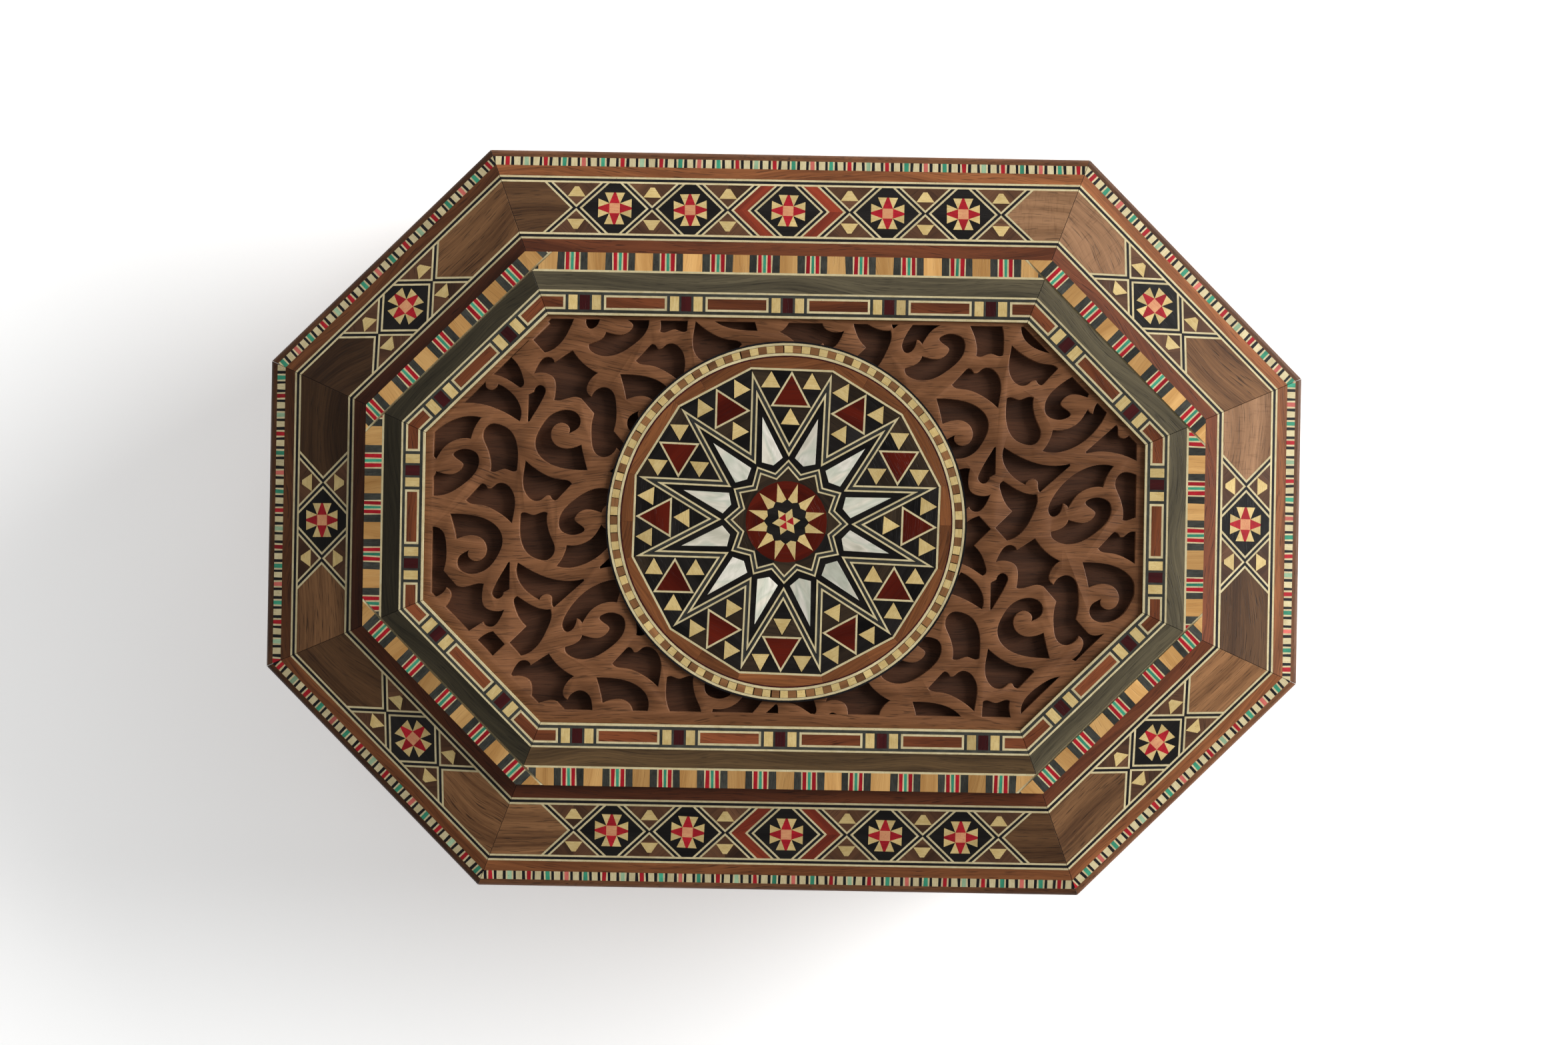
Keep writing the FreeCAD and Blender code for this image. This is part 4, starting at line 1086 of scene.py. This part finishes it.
def pearl():
    """Mother-of-pearl: pale, with soft bands of cream, green and grey."""
    r = Recipe(bpy.data.materials.new("pearl"))
    spot = place_of(r)
    wander = r.streaks(spot, 0.05, 0.11, 2.0, 0.5, 1.2)
    ripple = r.streaks(spot, 0.12, 0.5, 3.0, 0.6, 1.5)
    ramp = r.add("ValToRGB", Fac=wander)
    elements = ramp.color_ramp.elements
    while len(elements) < len(PEARL_COLOURS):
        elements.new(0.5)
    for element, (position, colour) in zip(elements, PEARL_COLOURS):
        element.position = position
        element.color = linear(colour)
    colour = r.mix(r.band(ripple, 0.35, 0.7, 0.0, 0.28), ramp.outputs[0], linear((140, 142, 122)))
    r.shade(Base_Color=toned(r, colour), Roughness=0.2, Coat_Weight=0.4, Coat_Roughness=0.1)
    r.shade(Thin_Film_Thickness=420.0, Thin_Film_IOR=1.4)
    r.bump(ripple, 0.06, 0.3)
    return r.owner


def metal(name, colour, rough):
    """Worn brass or steel with fine brushing and dull spots."""
    r = Recipe(bpy.data.materials.new(name))
    spot = r.in_frame()
    brush = r.streaks(spot, 0.3, 8.0, 2.0, 0.6)
    dull = r.noise(spot, 0.5, 3.0, 0.6)
    tint = r.mix(r.band(dull, 0.4, 0.7), linear(colour), linear(colour, 0.62))
    r.shade(Base_Color=tint, Metallic=1.0, Roughness=r.plus(r.times(dull, 0.25), rough))
    r.bump(brush, 0.01, 0.3)
    return r.owner


def velvet():
    """Short red pile with a soft sheen and brushed patches."""
    r = Recipe(bpy.data.materials.new("red_velvet"))
    spot = r.in_frame()
    patch = r.noise(spot, 0.06, 4.0, 0.6, 0.5)
    pile = r.noise(spot, 4.0, 2.0, 0.7)
    tint = r.mix(r.band(patch, 0.3, 0.75), linear((120, 14, 22)), linear((142, 20, 30)))
    tint = r.mix(r.times(pile, 0.35), tint, linear((78, 6, 12)))
    r.shade(Base_Color=tint, Roughness=0.95, Specular_IOR_Level=0.15)
    r.shade(Sheen_Weight=0.6, Sheen_Roughness=0.35, Sheen_Tint=(0.9, 0.35, 0.35, 1.0))
    r.bump(pile, 0.25, 0.6)
    return r.owner


def floor_paper():
    """White paper that gives off a little light of its own."""
    r = Recipe(bpy.data.materials.new("pale_paper"))
    grain = r.noise(r.add("TexCoord").outputs["Object"], 900.0, 2.0)
    r.shade(Base_Color=r.mix(grain, linear((249, 249, 248)), linear((252, 252, 251))), Roughness=0.9)
    r.shade(Emission_Color=(1.0, 1.0, 1.0, 1.0), Emission_Strength=0.32)
    r.bump(grain, 0.05, 0.2)
    return r.owner


# each kind of wood: its slot, how much its pieces differ in lightness, and what timber is given
WOODS = {
    "walnut": ("walnut", 0.12, (150, 93, 55), (93, 52, 28)),
    "inner_walnut": ("walnut", 0.12, (112, 61, 36), (73, 37, 21)),
    "panel_walnut": ("walnut", 0.08, (146, 104, 68), (86, 56, 34), 0.65, 0.7),
    "fleck_walnut": ("walnut", 0.05, (142, 106, 76), (100, 70, 46), 0.5, 0.5, 0.34, 0.35),
    "ring_walnut": ("walnut", 0.14, (134, 82, 47), (88, 50, 27), 0.7, 0.45),
    "edging": ("dark_walnut", 0.08, (110, 72, 46), (68, 41, 25), 0.6),
    "moulding": ("walnut", 0.08, (124, 80, 50), (76, 45, 27)),
    "pale_wood": ("pale_wood", 0.12, (204, 160, 100), (168, 122, 68), 0.4, 0.15),
    "stained_brown": ("stained_wood", 0.05, (98, 76, 50), (60, 45, 30), 0.7, 0.5),
    "stained": ("stained_wood", 0.05, (90, 82, 63), (54, 49, 38), 0.7, 0.5),
    "chevron": ("red_wood", 0.10, (138, 54, 32), (98, 36, 22), 0.5, 0.3),
    "gap_brown": ("dark_walnut", 0.22, (92, 62, 42), (62, 40, 27), 0.5, 0.4),
    "dark_red": ("red_wood", 0.15, (68, 22, 22), (46, 13, 16), 0.4, 0.3),
    "red_wood": ("red_wood", 0.10, (88, 25, 13), (62, 14, 7), 0.4, 0.15, 0.24),
    "check_brown": ("inlay_rods", 0.18, (142, 100, 62), (100, 66, 40), 0.5, 0.2),
    "ebony": ("ebony", 0.20, (33, 30, 28), (17, 15, 14), 0.4, 0.2, 0.26),
    "ebony_brown": ("ebony", 0.20, (58, 46, 34), (32, 25, 20), 0.6, 0.4, 0.26),
}
# each kind of veneer, likewise
VENEERS = {
    "black": ("ebony", 0.15, (28, 26, 28), (18, 17, 19)),
    "slate": ("ebony", 0.15, (66, 66, 60), (44, 44, 40)),
    "cream": ("bone", 0.06, (205, 192, 153), (184, 168, 126)),
    "bone": ("bone", 0.08, (206, 183, 128), (185, 158, 100)),
    "blush": ("bone", 0.08, (204, 150, 106), (190, 124, 90)),
    "red": ("red_wood", 0.12, (172, 30, 40), (138, 20, 30)),
    "salmon": ("red_wood", 0.10, (204, 108, 96), (180, 88, 80)),
    "teal": ("inlay_rods", 0.14, (62, 148, 116), (46, 122, 96)),
    "pale_green": ("inlay_rods", 0.10, (156, 182, 148), (130, 160, 128)),
}
# each kind of piece: its material, its slot and how much its pieces differ in lightness
KINDS = {}
for make, rows in ((timber, WOODS), (veneer, VENEERS)):
    for kind_name, (kind_slot, kind_spread, *looks) in rows.items():
        KINDS[kind_name] = (make(kind_name, *looks), kind_slot, kind_spread)
KINDS["pearl"] = (pearl(), "pearl", 0.13)


# ---- fretwork ----
FRET_EASE, FRET_WELD, FRET_LEVEL = 0.14, 0.002, 0.001


def fret_panel():
    """The pierced panel, cut like the CAD node's, with every upper arris eased."""
    mesh = bmesh.new()
    mesh.from_mesh(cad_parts["fret_panel"].data)
    bmesh.ops.remove_doubles(mesh, verts=mesh.verts, dist=FRET_WELD * MM)
    top = max(v.co.z for v in mesh.verts)
    bmesh.ops.dissolve_limit(mesh, angle_limit=math.radians(0.5), verts=mesh.verts, edges=mesh.edges)
    rims = [e for e in mesh.edges if all(abs(v.co.z - top) < FRET_LEVEL * MM for v in e.verts)]
    rims = [e for e in rims if sum(abs(f.normal.z) > 0.9 for f in e.link_faces) == 1]
    bmesh.ops.bevel(
        mesh, geom=rims, offset=FRET_EASE * MM, segments=2, profile=0.5, affect="EDGES",
        clamp_overlap=False,
    )
    made = bpy.data.meshes.new("fretwork")
    mesh.to_mesh(made)
    mesh.free()
    wood = timber("fret_walnut", (130, 87, 57), (90, 57, 35), 0.75, 0.6, turn=0.0)
    stand_in("fretwork", made, wood, "lid", ["fret_panel"], SHARP)


# ---- lining ----
RED_VELVET = velvet()
CUSHION_ROOM, CUSHION_SHARP, CUSHION_FILL, SLACK = 0.4, 50.0, 0.8, 0.12
FLOOR_PAD, WALL_PAD = (1.3, 0.5), (0.8, 0.25)
# rings of a cushion from its back to its crown: how far in, and its share of the thickness and bulge
CUSHION_RINGS = [
    (0.0, 0.0, 0.0), (0.0, 0.5, 0.0), (0.12, 0.8, 0.0), (0.35, 0.95, 0.0),
    (0.8, 1.0, 0.0), (2.0, 1.0, 0.4), (5.0, 1.0, 0.8), (10.0, 1.0, 1.0),
]


def cushion(name, body, node, outline, up, thick, bulge):
    """A panel of cloth over card: its face is crowned and its edges are rounded."""
    room = CUSHION_ROOM * min((p - outline[k - 1]).length for k, p in enumerate(outline))
    rings = [ring for ring in CUSHION_RINGS if ring[0] < room]
    verts = []
    for width, flat, crown in rings:
        moved = inset(outline, up, width) if width else outline
        verts += [(p + up * (thick * flat + bulge * crown)) * MM for p in moved]
    mesh = bpy.data.meshes.new(name)
    mesh.from_pydata(verts, [], skin(0, len(outline), len(rings)))
    piece = stand_in(name, mesh, RED_VELVET, body, [node], CUSHION_SHARP)


def linings():
    inner = WALL_INNER + LINING
    for body, node, level, way in (
        ("box_body", "velvet_body_lining", BASE_THICK, 1.0),
        ("lid", "velvet_lid_lining", LID_WALL_TOP, -1.0),
    ):
        outline = [lift(corner(i, WALL_INNER + SLACK), level) for i in range(8)]
        if way < 0:
            outline = outline[::-1]
        cushion(f"{body}_floor_pad", body, node, outline, UP * way, *FLOOR_PAD)
        z0 = SLACK + (BASE_THICK + PAD_THICK if way > 0 else LID_BOTTOM)
        z1 = (BODY_TOP if way > 0 else LID_WALL_TOP - LID_LINING) - SLACK
        for i in range(8):
            base, along = normal(i) * LINING, tangent(i) * SLACK
            start, end = corner(i - 1, inner) + base + along, corner(i, inner) + base - along
            panel = [lift(start, z0), lift(start, z1), lift(end, z1), lift(end, z0)]
            if facing(panel).dot(normal(i)) > 0:
                panel = panel[::-1]
            cushion(f"{body}_wall_pad_{i}", body, node, panel, -normal(i), *WALL_PAD)


# ---- CAD parts that stay ----
WALL_TURNS = {
    0: ("front", "back"), 90: ("left", "right"), 45: ("front_right", "back_left"),
    -45: ("front_left", "back_right"),
}


def keep_cad_parts():
    chosen = []
    for turn, sides in WALL_TURNS.items():
        wood = timber(f"wall_wood_{turn}", (170, 122, 78), (128, 84, 50), 0.5, 0.4, turn=float(turn))
        chosen.append((wood, [f"{body}_wall_{side}" for body in ("body", "lid") for side in sides]))
    backing = timber("backing_wood", (90, 58, 40), (58, 36, 24), 0.6, 0.5, 0.5, turn=0.0, coat=0.04)
    framing = timber("frame_wood", (70, 44, 28), (42, 26, 17), 0.5, 0.5, turn=0.0)
    chosen += [
        (backing, ["fret_backing_board", "medallion_board"]),
        (framing, ["base_board", "lid_core_boards", "lid_slope_frame", "lid_raised_frame"]),
        (metal("brass", (180, 148, 90), 0.28), [
            "hinge_body_leaves", "hinge_lid_leaves", "hinge_body_screws", "hinge_lid_screws",
        ]),
        (metal("steel", (150, 150, 152), 0.3), ["hinge_pins"]),
    ]
    for material, names in chosen:
        for name in names:
            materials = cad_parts[name].data.materials
            materials.clear()
            materials.append(material)


# ---- studio ----
ROOM, WINDOW_SLOPE, BACK_SLOPE = 0.88, 0.4, 0.3
ABOVE, ABOVE_START, ABOVE_END = 0.05, 0.50, 0.94
WINDOW, WINDOW_TARGET, WINDOW_SIZE, WINDOW_POWER = (2.28, 0.8, 1.1), (0.0, 0.0, 0.08), 1.6, 98.0
FLOOR_HALF = 5.0
CAMERA_UP, CAMERA_TURN, LENS, SENSOR, CLIP_END = 0.8893, 1.0, 67.65, 36.0, 20.0


def place(name, data, location=(0.0, 0.0, 0.0)):
    thing = bpy.data.objects.new(name, data)
    thing.location = location
    bpy.context.scene.collection.objects.link(thing)
    return thing


def sky():
    """A soft room: dark straight above, and brighter towards the window and towards the back."""
    world = bpy.data.worlds.new("studio")
    bpy.context.scene.world = world
    r = Recipe(world, "Background")
    way = r.add("SeparateXYZ", _0=r.add("TexCoord").outputs["Generated"])
    above = r.band(way.outputs["Z"], ABOVE_START, ABOVE_END, 1.0, ABOVE)
    slope = r.math("MULTIPLY_ADD", way.outputs["X"], WINDOW_SLOPE, ROOM)
    rise = r.math("MULTIPLY_ADD", way.outputs["Y"], BACK_SLOPE, slope)
    r.shade(Color=(1.0, 1.0, 1.0, 1.0), Strength=r.times(above, rise))


def studio():
    scene = bpy.context.scene
    sky()
    light = bpy.data.lights.new("window", "AREA")
    light.shape = "RECTANGLE"
    light.size = light.size_y = WINDOW_SIZE
    light.energy = WINDOW_POWER
    way = Vector(WINDOW_TARGET) - Vector(WINDOW)
    place("window", light, WINDOW).rotation_euler = way.to_track_quat("-Z", "Y").to_euler()
    mesh = bpy.data.meshes.new("floor")
    corners = [(x, y, 0.0) for x, y in bar(-FLOOR_HALF, FLOOR_HALF, -FLOOR_HALF, FLOOR_HALF)]
    mesh.from_pydata(corners, [], [(0, 1, 2, 3)])
    mesh.materials.append(floor_paper())
    place("floor", mesh)
    scene.view_settings.view_transform = "Standard"
    camera = bpy.data.cameras.new("camera")
    camera.lens = LENS
    camera.sensor_width = SENSOR
    camera.clip_end = CLIP_END
    scene.camera = place("camera", camera, (0.0, 0.0, CAMERA_UP))
    scene.camera.rotation_euler = (0.0, 0.0, math.radians(CAMERA_TURN))


lid_bands()
lid_sides()
body_sides()
medallion()
for group in Pieces.known.values():
    group.build()
fret_panel()
linings()
keep_cad_parts()
studio()
